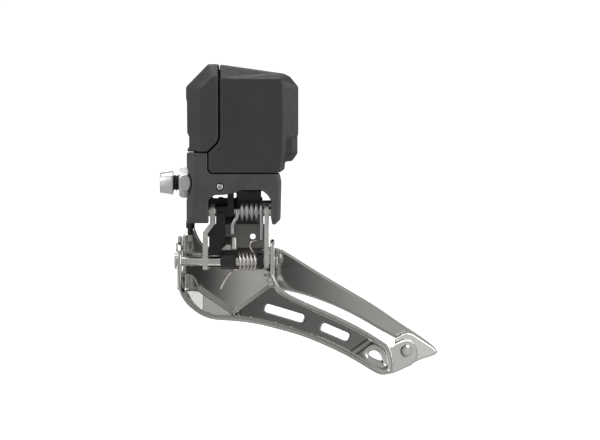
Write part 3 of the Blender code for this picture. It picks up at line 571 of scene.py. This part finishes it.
def build_linkage():
    near = refined("near_link", LINK, 0.25, 24)
    # Web faces between the arms take the darker copy of the steel: painted shade behind the springs.
    near.data.materials.append(LINK_PAINTED_SHADE)
    for face in near.data.polygons:
        if WEB_LEFT * MM < face.center.x < WEB_RIGHT * MM:
            face.material_index = 1
    edge = [(0, -19.5), (0.85, -19.5), *fillet(0.85, -19.75, 0.25, 90, 0, 3), (1.1, -23.6)]
    edge += [*fillet(0.85, -23.65, 0.25, 0, -90, 3), (0, -23.9)]
    roll = turned("near_link_roll", edge, 32)
    roll.location = (19.75 * MM, -3.9 * MM, 0)
    patch = [(15.2, -24.0), (17.2, -22.2), (18.9, -22.6), (18.9, -24.0)]
    corner_patch = bent_strip("near_link_corner", patch, "Y", -3.8, -3.3)
    for piece in (bake(roll), corner_patch):
        paint(smooth(piece), LINK)
        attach(piece, NODES["near_link"]["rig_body"])
    # The far link wears the darker copy of the link steel: painted shade.
    refined("far_link", LINK_PAINTED_SHADE, 0.25, 24)
    refined("drive_lever", LEVER, 0.3, 24)


def build_saver_spring():
    """Thick coil; each turn lies square at the front and steps over at the back."""
    y, z = UPPER_NEAR
    x0, x1, turns = 21.0, 29.7, 5
    radius = 3.05
    points = []
    for i in range(turns * 48 + 1):
        turn, part = divmod(i / 48, 1)
        step = min(max((part - 0.25) / 0.5, 0), 1)
        angle = math.radians(180 + 360 * part)
        x = x0 + (x1 - x0) * (turn + step * step * (3 - 2 * step)) / turns
        points.append((x, y + radius * math.cos(angle), z + radius * math.sin(angle)))
    front = y - radius
    left = eased([
        (19.2, front, -18.3), (19.2, front, -15.6), (19.9, front, -13.9), (20.9, front, -12.3), points[0],
    ])
    right = eased([points[-1], (29.72, front, -11.6), (29.75, front, -16.0), (29.75, front, -20.4)])
    place(wire("saver_spring_wire", left[:-1] + points + right[1:], 0.72), WIRE, "saver_spring")


def build_cage_spring():
    points = coil(LOWER_NEAR, 3.1, 21.1, 27.8, 5, 270)
    y, z = LOWER_NEAR
    lower = eased([
        (15.1, -2.6, -38.2), (16.6, -3.2, -35.2), (18.6, -4.0, -32.2), (20.0, y - 0.4, z - 3.0), points[0],
    ])
    upper = eased([
        points[-1], (27.9, y + 2.1, z - 2.2), (27.8, y + 2.9, z + 0.6), (26.5, -3.95, -24.7),
        (25.6, -3.95, -22.8), (26.2, -3.95, -21.3), (28.0, -3.95, -20.7),
    ])
    spring = paint(wire("cage_spring_wire", lower[:-1] + points + upper[1:], 0.34), THIN_WIRE)
    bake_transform(spring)
    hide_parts("cage_spring")


def build_round_pieces():
    for node, pivot in (
        ("upper_near_axle", UPPER_NEAR), ("upper_far_axle", UPPER_FAR), ("lower_far_axle", LOWER_FAR),
    ):
        radius = (span(node, 2)[1] - span(node, 2)[0]) / 2
        x0, x1 = span(node, 0)
        profile = [(0, x1), (radius - 0.2, x1), (radius, x1 - 0.2)]
        profile += [(radius, x0 + 0.2), (radius - 0.2, x0), (0, x0)]
        obj = bake(along_x(turned(node + "_bar", profile), *pivot))
        place(smooth(obj), AXLE, node)
    for node in ("left_bush", "right_bush"):
        x0, x1 = span(node, 0)
        profile = [(2.0, x1), (2.75, x1), (3.0, x1 - 0.25), (3.0, x0 + 0.25), (2.75, x0), (2.0, x0)]
        obj = bake(along_x(turned(node + "_sleeve", profile, ring=True), *LOWER_NEAR))
        place(smooth(obj), BUSH, node)
    profile = [
        (0, 35.7), (1.3, 35.7), (1.6, 35.5), (1.7, 35.2), (1.7, -0.8), (2.9, -0.8), (3.0, -0.95),
        (2.95, -1.25), (2.6, -1.5), (2.0, -1.6), (0, -1.6),
    ]
    obj = bake(along_x(turned("lower_near_axle_bar", profile), *LOWER_NEAR))
    place(smooth(obj), AXLE, "lower_near_axle")
    profile = [(2.0, 35.3), (2.4, 35.3), (2.6, 35.15), (2.6, 34.95), (2.4, 34.8), (2.0, 34.8)]
    obj = bake(along_x(turned("near_axle_washer_ring", profile, ring=True), *LOWER_NEAR))
    place(smooth(obj), AXLE, "near_axle_washer")
    paint(NODES["tail_rivet"], PLATE)
    paint(NODES["front_rivet"], BOLT)


# ---------------------------------------------------------------- stamped plates
def rounded(points, times=2, sharp=()):
    """Cut the corners of a closed outline (Chaikin), except the corners listed in sharp."""
    for _ in range(times):
        fresh = []
        count = len(points)
        kept = []
        for i, point in enumerate(points):
            if i in sharp:
                kept.append(len(fresh))
                fresh.append(point)
                continue
            before = points[i - 1]
            after = points[(i + 1) % count]
            fresh.append((0.75 * point[0] + 0.25 * before[0], 0.75 * point[1] + 0.25 * before[1]))
            fresh.append((0.75 * point[0] + 0.25 * after[0], 0.75 * point[1] + 0.25 * after[1]))
        points = fresh
        sharp = kept
    return points


def divided(points, step):
    """Put points on a closed outline no further apart than step."""
    result = []
    for i, a in enumerate(points):
        b = points[(i + 1) % len(points)]
        count = max(1, math.ceil(math.dist(a, b) / step))
        result += [
            (a[0] + (b[0] - a[0]) * k / count, a[1] + (b[1] - a[1]) * k / count) for k in range(count)
        ]
    return result


def outline_distance(points, outline):
    """Distance of each point to an outline, positive inside."""
    a = np.array(outline)
    b = np.roll(a, -1, axis=0)
    d = b - a
    p = np.asarray(points)
    best = np.full(len(p), 1e9)
    inside = np.zeros(len(p), bool)
    for (ax, az), (dx, dz) in zip(a, d):
        length = dx * dx + dz * dz
        t = np.clip(((p[:, 0] - ax) * dx + (p[:, 1] - az) * dz) / max(length, 1e-12), 0, 1)
        best = np.minimum(best, np.hypot(p[:, 0] - ax - t * dx, p[:, 1] - az - t * dz))
        crosses = (az > p[:, 1]) != (az + dz > p[:, 1])
        with np.errstate(divide="ignore", invalid="ignore"):
            x = ax + (p[:, 1] - az) * dx / dz
        inside ^= crosses & (p[:, 0] < x)
    return np.where(inside, best, -best)


def inward(outline, distance):
    """Points of an outline moved inwards along the outline's own normals."""
    p = np.array(outline)
    way = np.roll(p, -1, axis=0) - np.roll(p, 1, axis=0)
    normal = np.stack([way[:, 1], -way[:, 0]], axis=1)
    normal /= np.linalg.norm(normal, axis=1, keepdims=True)
    turn = np.sum(p[:, 0] * np.roll(p[:, 1], -1) - np.roll(p[:, 0], -1) * p[:, 1])
    return p + normal * distance * (-1 if turn > 0 else 1)


def beside(line, offset):
    """Points along an open line, moved to its left by offset."""
    (ax, az), (bx, bz) = line
    length = math.dist(*line)
    count = max(2, round(length / 0.3))
    nx, nz = -(bz - az) / length, (bx - ax) / length
    return [(ax + (bx - ax) * k / count + nx * offset, az + (bz - az) * k / count + nz * offset)
            for k in range(count + 1)]


def off_lines(points, lines):
    """Grid points that keep clear of the bands along the creases."""
    clear = np.ones(len(points), bool)
    for line, first, last in lines:
        (ax, az), (bx, bz) = line
        length = math.dist(*line)
        ux, uz = (bx - ax) / length, (bz - az) / length
        along = (points[:, 0] - ax) * ux + (points[:, 1] - az) * uz
        across = -(points[:, 0] - ax) * uz + (points[:, 1] - az) * ux
        clear &= ~((along > -0.2) & (along < length + 0.2) & (across > first - 0.2) & (across < last + 0.2))
    return points[clear]


def stamped(name, outline, holes, front, back, grid=0.55, rows=(0.08, 0.25, 0.5), creases=()):
    """A pressed sheet between two height fields, with its edges and holes closed."""
    loops = [divided(outline, 0.4)] + [divided(hole, 0.3) for hole in holes]
    xs = [p[0] for p in outline]
    zs = [p[1] for p in outline]
    grid_x, grid_z = np.meshgrid(np.arange(min(xs), max(xs), grid), np.arange(min(zs), max(zs), grid))
    free = [off_lines(np.stack([grid_x.ravel(), grid_z.ravel()], axis=1), creases)]
    for line, first, last in creases:
        count = round((last - first) / 0.2)
        free += [np.array(beside(line, first + (last - first) * k / count)) for k in range(count + 1)]
    for row in rows:
        free.append(inward(loops[0], row))
        free += [inward(loop, -row) for loop in loops[1:] if row <= 0.5]
    free = np.concatenate(free)
    edge = outline_distance(free, loops[0])
    for loop in loops[1:]:
        edge = np.minimum(edge, -outline_distance(free, loop))
    free = free[edge > 0.06]
    flat = [Vector(p) for loop in loops for p in loop] + [Vector(p) for p in free]
    edges = []
    start = 0
    for loop in loops:
        edges += [(start + i, start + (i + 1) % len(loop)) for i in range(len(loop))]
        start += len(loop)
    verts, _, faces = geometry.delaunay_2d_cdt(flat, edges, [], 1, 1e-5)[:3]
    xz = np.array([tuple(v) for v in verts])
    middles = np.array([xz[list(face)].mean(axis=0) for face in faces])
    keep = outline_distance(middles, loops[0]) > 0
    for loop in loops[1:]:
        keep &= outline_distance(middles, loop) < 0
    faces = [list(face) for face, kept in zip(faces, keep) if kept]
    rim = outline_distance(xz, loops[0])
    hole = np.full(len(xz), 1e9)
    for loop in loops[1:]:
        hole = np.minimum(hole, -outline_distance(xz, loop))
    x, z = xz[:, 0], xz[:, 1]
    near = front(x, z, np.maximum(rim, 0), np.maximum(hole, 0))
    far = back(x, z, np.maximum(rim, 0), np.maximum(hole, 0))
    bm = bmesh.new()
    top = [bm.verts.new((a * MM, y * MM, b * MM)) for (a, b), y in zip(xz, near)]
    low = [bm.verts.new((a * MM, y * MM, b * MM)) for (a, b), y in zip(xz, far)]
    for face in faces:
        bm.faces.new([top[i] for i in face])
        bm.faces.new([low[i] for i in reversed(face)])
    open_edges = [e for e in bm.edges if e.is_boundary]
    pair = {vert: low[i] for i, vert in enumerate(top)}
    for open_edge in open_edges:
        a, b = open_edge.verts
        if a in pair and b in pair:
            bm.faces.new((a, b, pair[b], pair[a]))
    loose = [v for v in bm.verts if not v.link_faces]
    bmesh.ops.delete(bm, geom=loose, context="VERTS")
    bmesh.ops.recalc_face_normals(bm, faces=bm.faces)
    return new_object(name, bm)


def ease(t):
    """A ramp from 0 to 1 with softened ends."""
    t = np.clip(t, 0, 1)
    return 0.55 * t + 0.45 * t * t * (3 - 2 * t)


def corner(distance, radius):
    """How far a rounded edge falls back at a distance from the edge."""
    inside = np.clip(radius - distance, 0, radius)
    return radius - np.sqrt(radius * radius - inside * inside)


def side_of(x, z, a, b):
    """Distance to the line a-b, positive on its left."""
    dx, dz = b[0] - a[0], b[1] - a[1]
    length = math.hypot(dx, dz)
    return (dx * (z - a[1]) - dz * (x - a[0])) / length


RIM_Y, DISH_Y, RECESS_Y, SHEET = -9.5, -7.4, -1.7, 1.2
INNER_OUTLINE = [
    (-0.5, -31.9), (1.2, -31.9), (1.4, -30.4), (31.6, -30.4), (31.8, -31.9), (33.5, -32.0), (35.3, -36.0),
    (38.2, -39.2), (43.6, -41.9), (50.8, -45.0), (58.0, -48.2), (65.2, -51.8), (72.4, -56.2),
    (76.4, -58.9), (77.6, -68.1), (73.6, -69.1), (70.9, -68.4), (62.3, -63.0), (53.6, -58.7), (45.0, -55.1),
    (36.4, -52.6), (27.7, -50.4), (19.0, -49.4), (14.8, -49.3), (10.4, -48.6), (6.1, -46.4),
    (1.8, -42.5), (-0.4, -37.8),
]


V_LEFT = ((18.8, -47.2), (7.0, -39.0))
V_RIGHT = ((32.9, -37.5), (20.0, -47.1))
PAD_EDGE = ((60.0, -61.5), (67.5, -56.0))
FACET_X = 8.8
FACET_CREASE = ((FACET_X, -49.0), (FACET_X, -40.2))
INNER_CREASES = (
    (V_LEFT, -2.2, 0.2), (V_RIGHT, -1.4, 0.2), (PAD_EDGE, -2.8, 0.2), (FACET_CREASE, -0.2, 0.2),
)
WINDOW_SILL_Z = -38.9
RECESS_LEFT, RECESS_RIGHT = 0.9, 33.0
PLATE_TOP_Z = -33.0
RIM_WIDTH, WALL_WIDTH = 0.95, 0.9


def recess(x, z, grow):
    """Share of the recess's depth; grow widens it for the back of the sheet."""
    left = side_of(x, z, *V_LEFT)
    right = side_of(x, z, *V_RIGHT)
    inside = np.maximum(-left, z - WINDOW_SILL_Z)
    share = np.minimum(ease((inside + grow) / 2.0), ease((-right + grow) / 1.2))
    share = np.minimum(share, ease((x - RECESS_LEFT + grow) / 1.0))
    return np.minimum(share, ease((RECESS_RIGHT - x + grow) / 0.6))


def recess_floor(x):
    """The recess's floor, bent very slightly about an upright line."""
    return RECESS_Y + 0.5 - 0.06 * (x - 8.0) + 0.0018 * (x - 8.0) ** 2


def dish(x, z):
    """The plate's floor: rising along the arm, two facets at the front, a raised pad at the tail."""
    arm = DISH_Y + 0.9 - 0.05 * (x - 33.0)
    facets = DISH_Y + np.where(x < FACET_X, (FACET_X - x) * 0.24, (x - FACET_X) * 0.16)
    share = ease((x - 17.0) / 5.0)
    floor = facets * (1 - share) + arm * share
    return floor - 0.35 * ease(-side_of(x, z, *PAD_EDGE) / 2.6)


def tail_dish(x, z):
    """A second, small dish round the tail window."""
    outline = rounded([
        (66.4, -62.6), (67.6, -59.0), (70.9, -58.3), (73.8, -60.0), (75.4, -65.6), (72.6, -66.2),
    ], 2)
    return outline_distance(np.stack([x, z], axis=1), outline)


def inner_front(x, z, rim, hole):
    floor = dish(x, z) + 0.8 * ease(tail_dish(x, z) / 1.0)
    floor = floor + (recess_floor(x) - floor) * recess(x, z, 0.0)
    top = z > PLATE_TOP_Z
    wall = np.where(top, 1.0, ease((rim - RIM_WIDTH) / WALL_WIDTH))
    surface = RIM_Y + (floor - RIM_Y) * wall
    surface = surface + np.where(top, 0.0, corner(rim, 0.5))
    return surface + corner(hole, 0.3)


def inner_back(x, z, rim, hole):
    floor = dish(x, z) + 0.8 * ease(tail_dish(x, z) / 1.0) + SHEET
    floor = floor + (recess_floor(x) + SHEET - floor) * recess(x, z, 1.2)
    edge = np.where(z > PLATE_TOP_Z, 0.0, corner(rim, 1.2))
    return floor - edge - corner(hole, 0.2)


def rounded_slot(x, z, length, width, tilt, radius=1.0):
    dx = length / 2 - radius
    dz = width / 2 - radius
    flat = fillet(dx, dz, radius, 0, 90) + fillet(-dx, dz, radius, 90, 180)
    flat += fillet(-dx, -dz, radius, 180, 270) + fillet(dx, -dz, radius, 270, 360)
    c = math.cos(math.radians(tilt))
    s = math.sin(math.radians(tilt))
    return [(x + a * c - b * s, z + a * s + b * c) for a, b in flat]


def build_inner_plate():
    outline = rounded(INNER_OUTLINE, 2, sharp=(0, 1, 2, 3, 4, 5))
    window = rounded([
        (1.9, -33.2), (4.3, -33.4), (5.8, -35.2), (6.9, -38.5), (2.0, -38.7),
    ], 2, sharp=(3, 4))
    tail_hole = rounded([
        (68.2, -61.6), (68.9, -60.4), (70.6, -60.1), (72.2, -61.1), (73.5, -64.1), (70.0, -62.9),
    ], 2)
    long_slot = rounded_slot(38.0, -46.8, 14.2, 2.9, -16.5)
    short_slot = rounded_slot(56.2, -53.5, 10.3, 2.9, -23.0)
    holes = [window, long_slot, short_slot, tail_hole]
    rows = (0.05, 0.12, 0.22, 0.35, 0.65, 0.95, 1.15, 1.35, 1.55, 1.75, 1.95, 2.3)
    plate = stamped("inner_plate_stamping", outline, holes, inner_front, inner_back, 0.5, rows,
                    INNER_CREASES)
    place(smooth(plate, 40), PLATE, "inner_plate")
    build_inner_ears()


def bent_strip(name, outline, normal_axis, low_value, high_value):
    """A closed flat plate: an outline extruded along X or Y."""
    bm = bmesh.new()
    rows = []
    for value in (low_value, high_value):
        row = []
        for a, b in outline:
            point = (value, a, b) if normal_axis == "X" else (a, value, b)
            row.append(bm.verts.new([c * MM for c in point]))
        rows.append(row)
    count = len(outline)
    for i in range(count):
        j = (i + 1) % count
        bm.faces.new((rows[0][i], rows[0][j], rows[1][j], rows[1][i]))
    bm.faces.new(rows[0])
    bm.faces.new(rows[1][::-1])
    bmesh.ops.recalc_face_normals(bm, faces=bm.faces)
    return new_object(name, bm)


def flange(name, outline, axis, low_value, high_value, width, body_node):
    obj = bent_strip(name, outline, axis, low_value, high_value)
    smooth(obj, 30)
    round_edges(obj, width, 4, 50)
    paint(obj, PLATE)
    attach(obj, NODES[body_node]["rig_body"])


def stadium(a, b, radius_a, radius_b, steps=16):
    lean = math.degrees(math.atan2(b[1] - a[1], b[0] - a[0]))
    first = fillet(a[0], a[1], radius_a, lean + 90, lean + 270, steps)
    return first + fillet(b[0], b[1], radius_b, lean - 90, lean + 90, steps)


def build_inner_ears():
    left = rounded([
        (-9.3, -36.0), (-9.3, -27.0), (-8.2, -24.6), (-4.0, -21.0), (-1.0, -19.4), (5.0, -19.2),
        (7.6, -20.4), (8.6, -23.0), (8.6, -26.0), (5.0, -29.5), (0.0, -32.5), (-4.0, -38.5), (-9.3, -38.5),
    ], 1)
    flange("inner_plate_left_ear", left, "X", -0.5, 0.9, 0.4, "inner_plate")
    right = stadium((LOWER_NEAR[0], -23.4), (LOWER_NEAR[0] + 0.4, -34.0), 3.2, 3.9)
    flange("inner_plate_right_ear", right, "X", 32.9, 34.5, 0.5, "inner_plate")


TAIL_X = 76.2
TAIL_SLOPE = math.tan(math.radians(33.0))
FAR_TAIL_GAP = 1.6
FAR_TAIL_FLATTER = 0.095
INNER_TAIL = [
    (75.0, -59.4), (76.4, -58.7), (79.6, -56.9), (82.4, -56.2), (84.6, -57.2), (86.0, -60.1),
    (86.2, -63.0), (85.0, -65.5), (79.2, -67.8), (77.0, -68.6), (75.6, -68.6),
]
OUTER_TAIL = [
    (77.0, -56.9), (80.2, -54.9), (83.2, -53.8), (88.0, -57.0), (93.3, -60.7), (93.4, -62.0), (92.0, -62.9),
    (87.0, -64.2), (86.0, -64.8), (79.6, -66.6),
]


def tail_face(start, slope, side):
    """Height field of a sheared tail sheet; side is 1 on the near face and -1 on the far face."""
    def height(x, z, rim, hole):
        return start + (x - TAIL_X) * slope + side * corner(rim, 0.55)
    return height


def build_tail():
    for name, outline, start, slope, node in (
        ("inner_plate_tail", INNER_TAIL, DISH_Y, TAIL_SLOPE, "inner_plate"),
        ("outer_plate_tail", OUTER_TAIL, DISH_Y + SHEET + FAR_TAIL_GAP, TAIL_SLOPE - FAR_TAIL_FLATTER,
         "outer_plate"),
    ):
        tail = stamped(name, rounded(outline, 1), [], tail_face(start, slope, 1),
                       tail_face(start + SHEET, slope, -1), 1.0, (0.05, 0.12, 0.22, 0.35, 0.5, 0.62))
        paint(smooth(tail, 40), PLATE)
        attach(tail, NODES[node]["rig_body"])


OUTER_OUTLINE = [
    (1.2, -19.2), (5.4, -16.6), (6.1, -18.7), (7.2, -20.9), (8.6, -23.0), (10.8, -23.6), (34.6, -23.0),
    (40.0, -26.1), (48.2, -31.3), (59.8, -38.2), (70.6, -44.5), (79.6, -50.8), (86.8, -55.4),
    (92.2, -59.4), (93.6, -61.2), (93.4, -62.3), (90.0, -62.6), (84.0, -60.0), (76.7, -55.8), (72.4, -53.6),
    (65.2, -49.3), (58.0, -45.7), (50.8, -42.8), (43.6, -40.5), (36.0, -38.9), (24.0, -38.4), (12.0, -38.8),
    (4.0, -40.2), (1.2, -39.0),
]


OUTER_Y, OUTER_SLOPE, OUTER_BOW, OUTER_LENGTH = 10.0, 0.048, 1.3, 93.0


def outer_middle(x):
    """The outer plate closes in towards the tail and bows a little."""
    return OUTER_Y - OUTER_SLOPE * x - OUTER_BOW * np.sin(np.clip(x / OUTER_LENGTH, 0, 1) * math.pi)


def outer_front(x, z, rim, hole):
    return outer_middle(x) - SHEET / 2 + corner(rim, 0.8)


def outer_back(x, z, rim, hole):
    return outer_middle(x) + SHEET / 2 - corner(rim, 0.5)


def build_outer_plate():
    plate = stamped("outer_plate_stamping", rounded(OUTER_OUTLINE, 2, sharp=(0, 1)), [], outer_front,
                    outer_back, 1.2, (0.05, 0.12, 0.22, 0.35, 0.55, 0.8, 1.1))
    place(smooth(plate, 40), PLATE, "outer_plate")
    nose = rounded([
        (-1.0, -20.2), (0.5, -19.2), (10.2, -19.2), (10.2, -38.6), (6.0, -38.6), (5.0, -33.0), (1.0, -28.0),
        (-1.0, -26.0),
    ], 1)
    flange("outer_plate_nose", nose, "X", 1.2, 2.4, 0.35, "outer_plate")
    for name, x, deep in (("outer_plate_left_ear", 11.8, 8.6), ("outer_plate_right_ear", 31.2, 7.4)):
        ear = fillet(*LOWER_FAR, 2.6, 120, 250, 12) + [(deep, -30.5), (deep, -23.6)]
        flange(name, ear, "X", x, x + 1.3, 0.3, "outer_plate")
    build_tail()


# ---------------------------------------------------------------- stage, light and camera
def build_stage():
    """A pale floor, left out of mirror reflections so that metal sees only the light tent."""
    floor_z = cad_low[2] - 0.004
    bm = bmesh.new()
    bmesh.ops.create_grid(bm, x_segments=24, y_segments=24, size=4.0)
    bmesh.ops.translate(bm, verts=bm.verts, vec=(0, 0, floor_z))
    floor = new_object("floor", bm)
    nodes = Nodes("pale_floor")
    nodes.join(nodes.colours(nodes.noise(3, 2), (0.90, 0.90, 0.90), (0.93, 0.93, 0.93)),
               nodes.shader.inputs["Base Color"])
    nodes.shader.inputs["Roughness"].default_value = 0.9
    nodes.shader.inputs["Emission Color"].default_value = (1, 1, 1, 1)
    nodes.shader.inputs["Emission Strength"].default_value = 0.7
    paint(floor, nodes.material)
    floor.visible_glossy = False


SIDE_TO_SIDE = (
    (0.00, 1.0), (0.20, 1.2), (0.27, 2.0), (0.34, 1.0), (0.385, 0.05), (0.437, 0.06),
    (0.46, 0.34), (0.477, 0.6), (0.50, 0.95), (0.53, 0.75), (0.57, 0.5), (0.64, 0.9),
    (0.80, 0.8), (0.90, 1.7), (0.95, 1.15), (1.00, 1.0),
)


def ramp_stops(ramp, stops):
    """Fill a colour ramp with grey stops given as (position, brightness)."""
    elements = ramp.color_ramp.elements
    while len(elements) < len(stops):
        elements.new(0.5)
    for element, (position, grey) in zip(elements, stops):
        element.position = position
        element.color = (grey, grey, grey, 1)


def build_world():
    """White for the eye; for the object a light tent with a dark strip where the camera stands."""
    world = bpy.data.worlds.new("studio")
    bpy.context.scene.world = world
    world.use_nodes = True
    tree = world.node_tree
    links = tree.links
    place_node = tree.nodes.new("ShaderNodeTexCoord")
    split = tree.nodes.new("ShaderNodeSeparateXYZ")
    links.new(place_node.outputs["Generated"], split.inputs["Vector"])
    front = tree.nodes.new("ShaderNodeValToRGB")
    ramp_stops(front, SIDE_TO_SIDE)
    across = tree.nodes.new("ShaderNodeMapRange")
    across.inputs["From Min"].default_value = -1.0
    links.new(split.outputs["X"], across.inputs["Value"])
    links.new(across.outputs["Result"], front.inputs["Fac"])
    # Above and below the dark strip and behind the object the tent is bright.
    height = tree.nodes.new("ShaderNodeMath")
    height.operation = "ABSOLUTE"
    links.new(split.outputs["Z"], height.inputs[0])
    lift = tree.nodes.new("ShaderNodeMapRange")
    lift.inputs["From Min"].default_value = 0.2
    lift.inputs["From Max"].default_value = 0.5
    links.new(height.outputs["Value"], lift.inputs["Value"])
    behind = tree.nodes.new("ShaderNodeMapRange")
    behind.inputs["From Min"].default_value = -0.2
    behind.inputs["From Max"].default_value = 0.4
    links.new(split.outputs["Y"], behind.inputs["Value"])
    most = tree.nodes.new("ShaderNodeMath")
    most.operation = "MAXIMUM"
    links.new(lift.outputs["Result"], most.inputs[0])
    links.new(behind.outputs["Result"], most.inputs[1])
    tent = tree.nodes.new("ShaderNodeMix")
    tent.data_type = "RGBA"
    links.new(most.outputs["Value"], tent.inputs["Factor"])
    links.new(front.outputs["Color"], tent.inputs["A"])
    tent.inputs["B"].default_value = (0.8, 0.8, 0.8, 1)
    path = tree.nodes.new("ShaderNodeLightPath")
    seen = tree.nodes.new("ShaderNodeMix")
    seen.data_type = "RGBA"
    links.new(path.outputs["Is Camera Ray"], seen.inputs["Factor"])
    links.new(tent.outputs["Result"], seen.inputs["A"])
    seen.inputs["B"].default_value = (1.6, 1.6, 1.6, 1)
    links.new(seen.outputs["Result"], tree.nodes["Background"].inputs["Color"])
    tree.nodes["Background"].inputs["Strength"].default_value = 0.65


def area_light(name, location, target, size, power, spread=140):
    light = bpy.data.lights.new(name, "AREA")
    light.shape = "RECTANGLE"
    light.size, light.size_y = size
    light.energy = power
    light.spread = math.radians(spread)
    obj = bpy.data.objects.new(name, light)
    bpy.context.scene.collection.objects.link(obj)
    obj.location = location
    obj.rotation_euler = (Vector(target) - Vector(location)).to_track_quat("-Z", "Y").to_euler()
    return obj


def build_lights():
    middle = (0.04, 0.0, -0.01)
    area_light("key", (-0.75, -0.65, 0.75), middle, (0.5, 0.5), 2.4)
    area_light("fill", (1.0, -0.3, 0.3), middle, (0.4, 0.6), 2.0)
    area_light("top", (0.05, 0.1, 1.1), middle, (0.8, 0.5), 4.5)


def build_camera():
    """Almost level with the object, from the frame side, with a very long lens."""
    camera = bpy.data.objects.new("camera", bpy.data.cameras.new("camera"))
    bpy.context.scene.collection.objects.link(camera)
    camera.data.lens = 240
    camera.data.clip_end = 20
    middle = Vector((0.0436, -0.005, -0.0133))
    elevation = math.radians(2.0)
    distance = 1.44
    back = Vector((0, -math.cos(elevation), math.sin(elevation)))
    camera.location = middle + back * distance
    camera.rotation_euler = (-back).to_track_quat("-Z", "Y").to_euler()
    bpy.context.scene.camera = camera
    bpy.context.scene.view_settings.view_transform = "Standard"


build_camera()
build_stage()
build_world()
build_lights()
build_shells()
build_fixings()
build_inside()
build_linkage()
build_inner_plate()
build_outer_plate()
build_saver_spring()
build_cage_spring()
build_round_pieces()
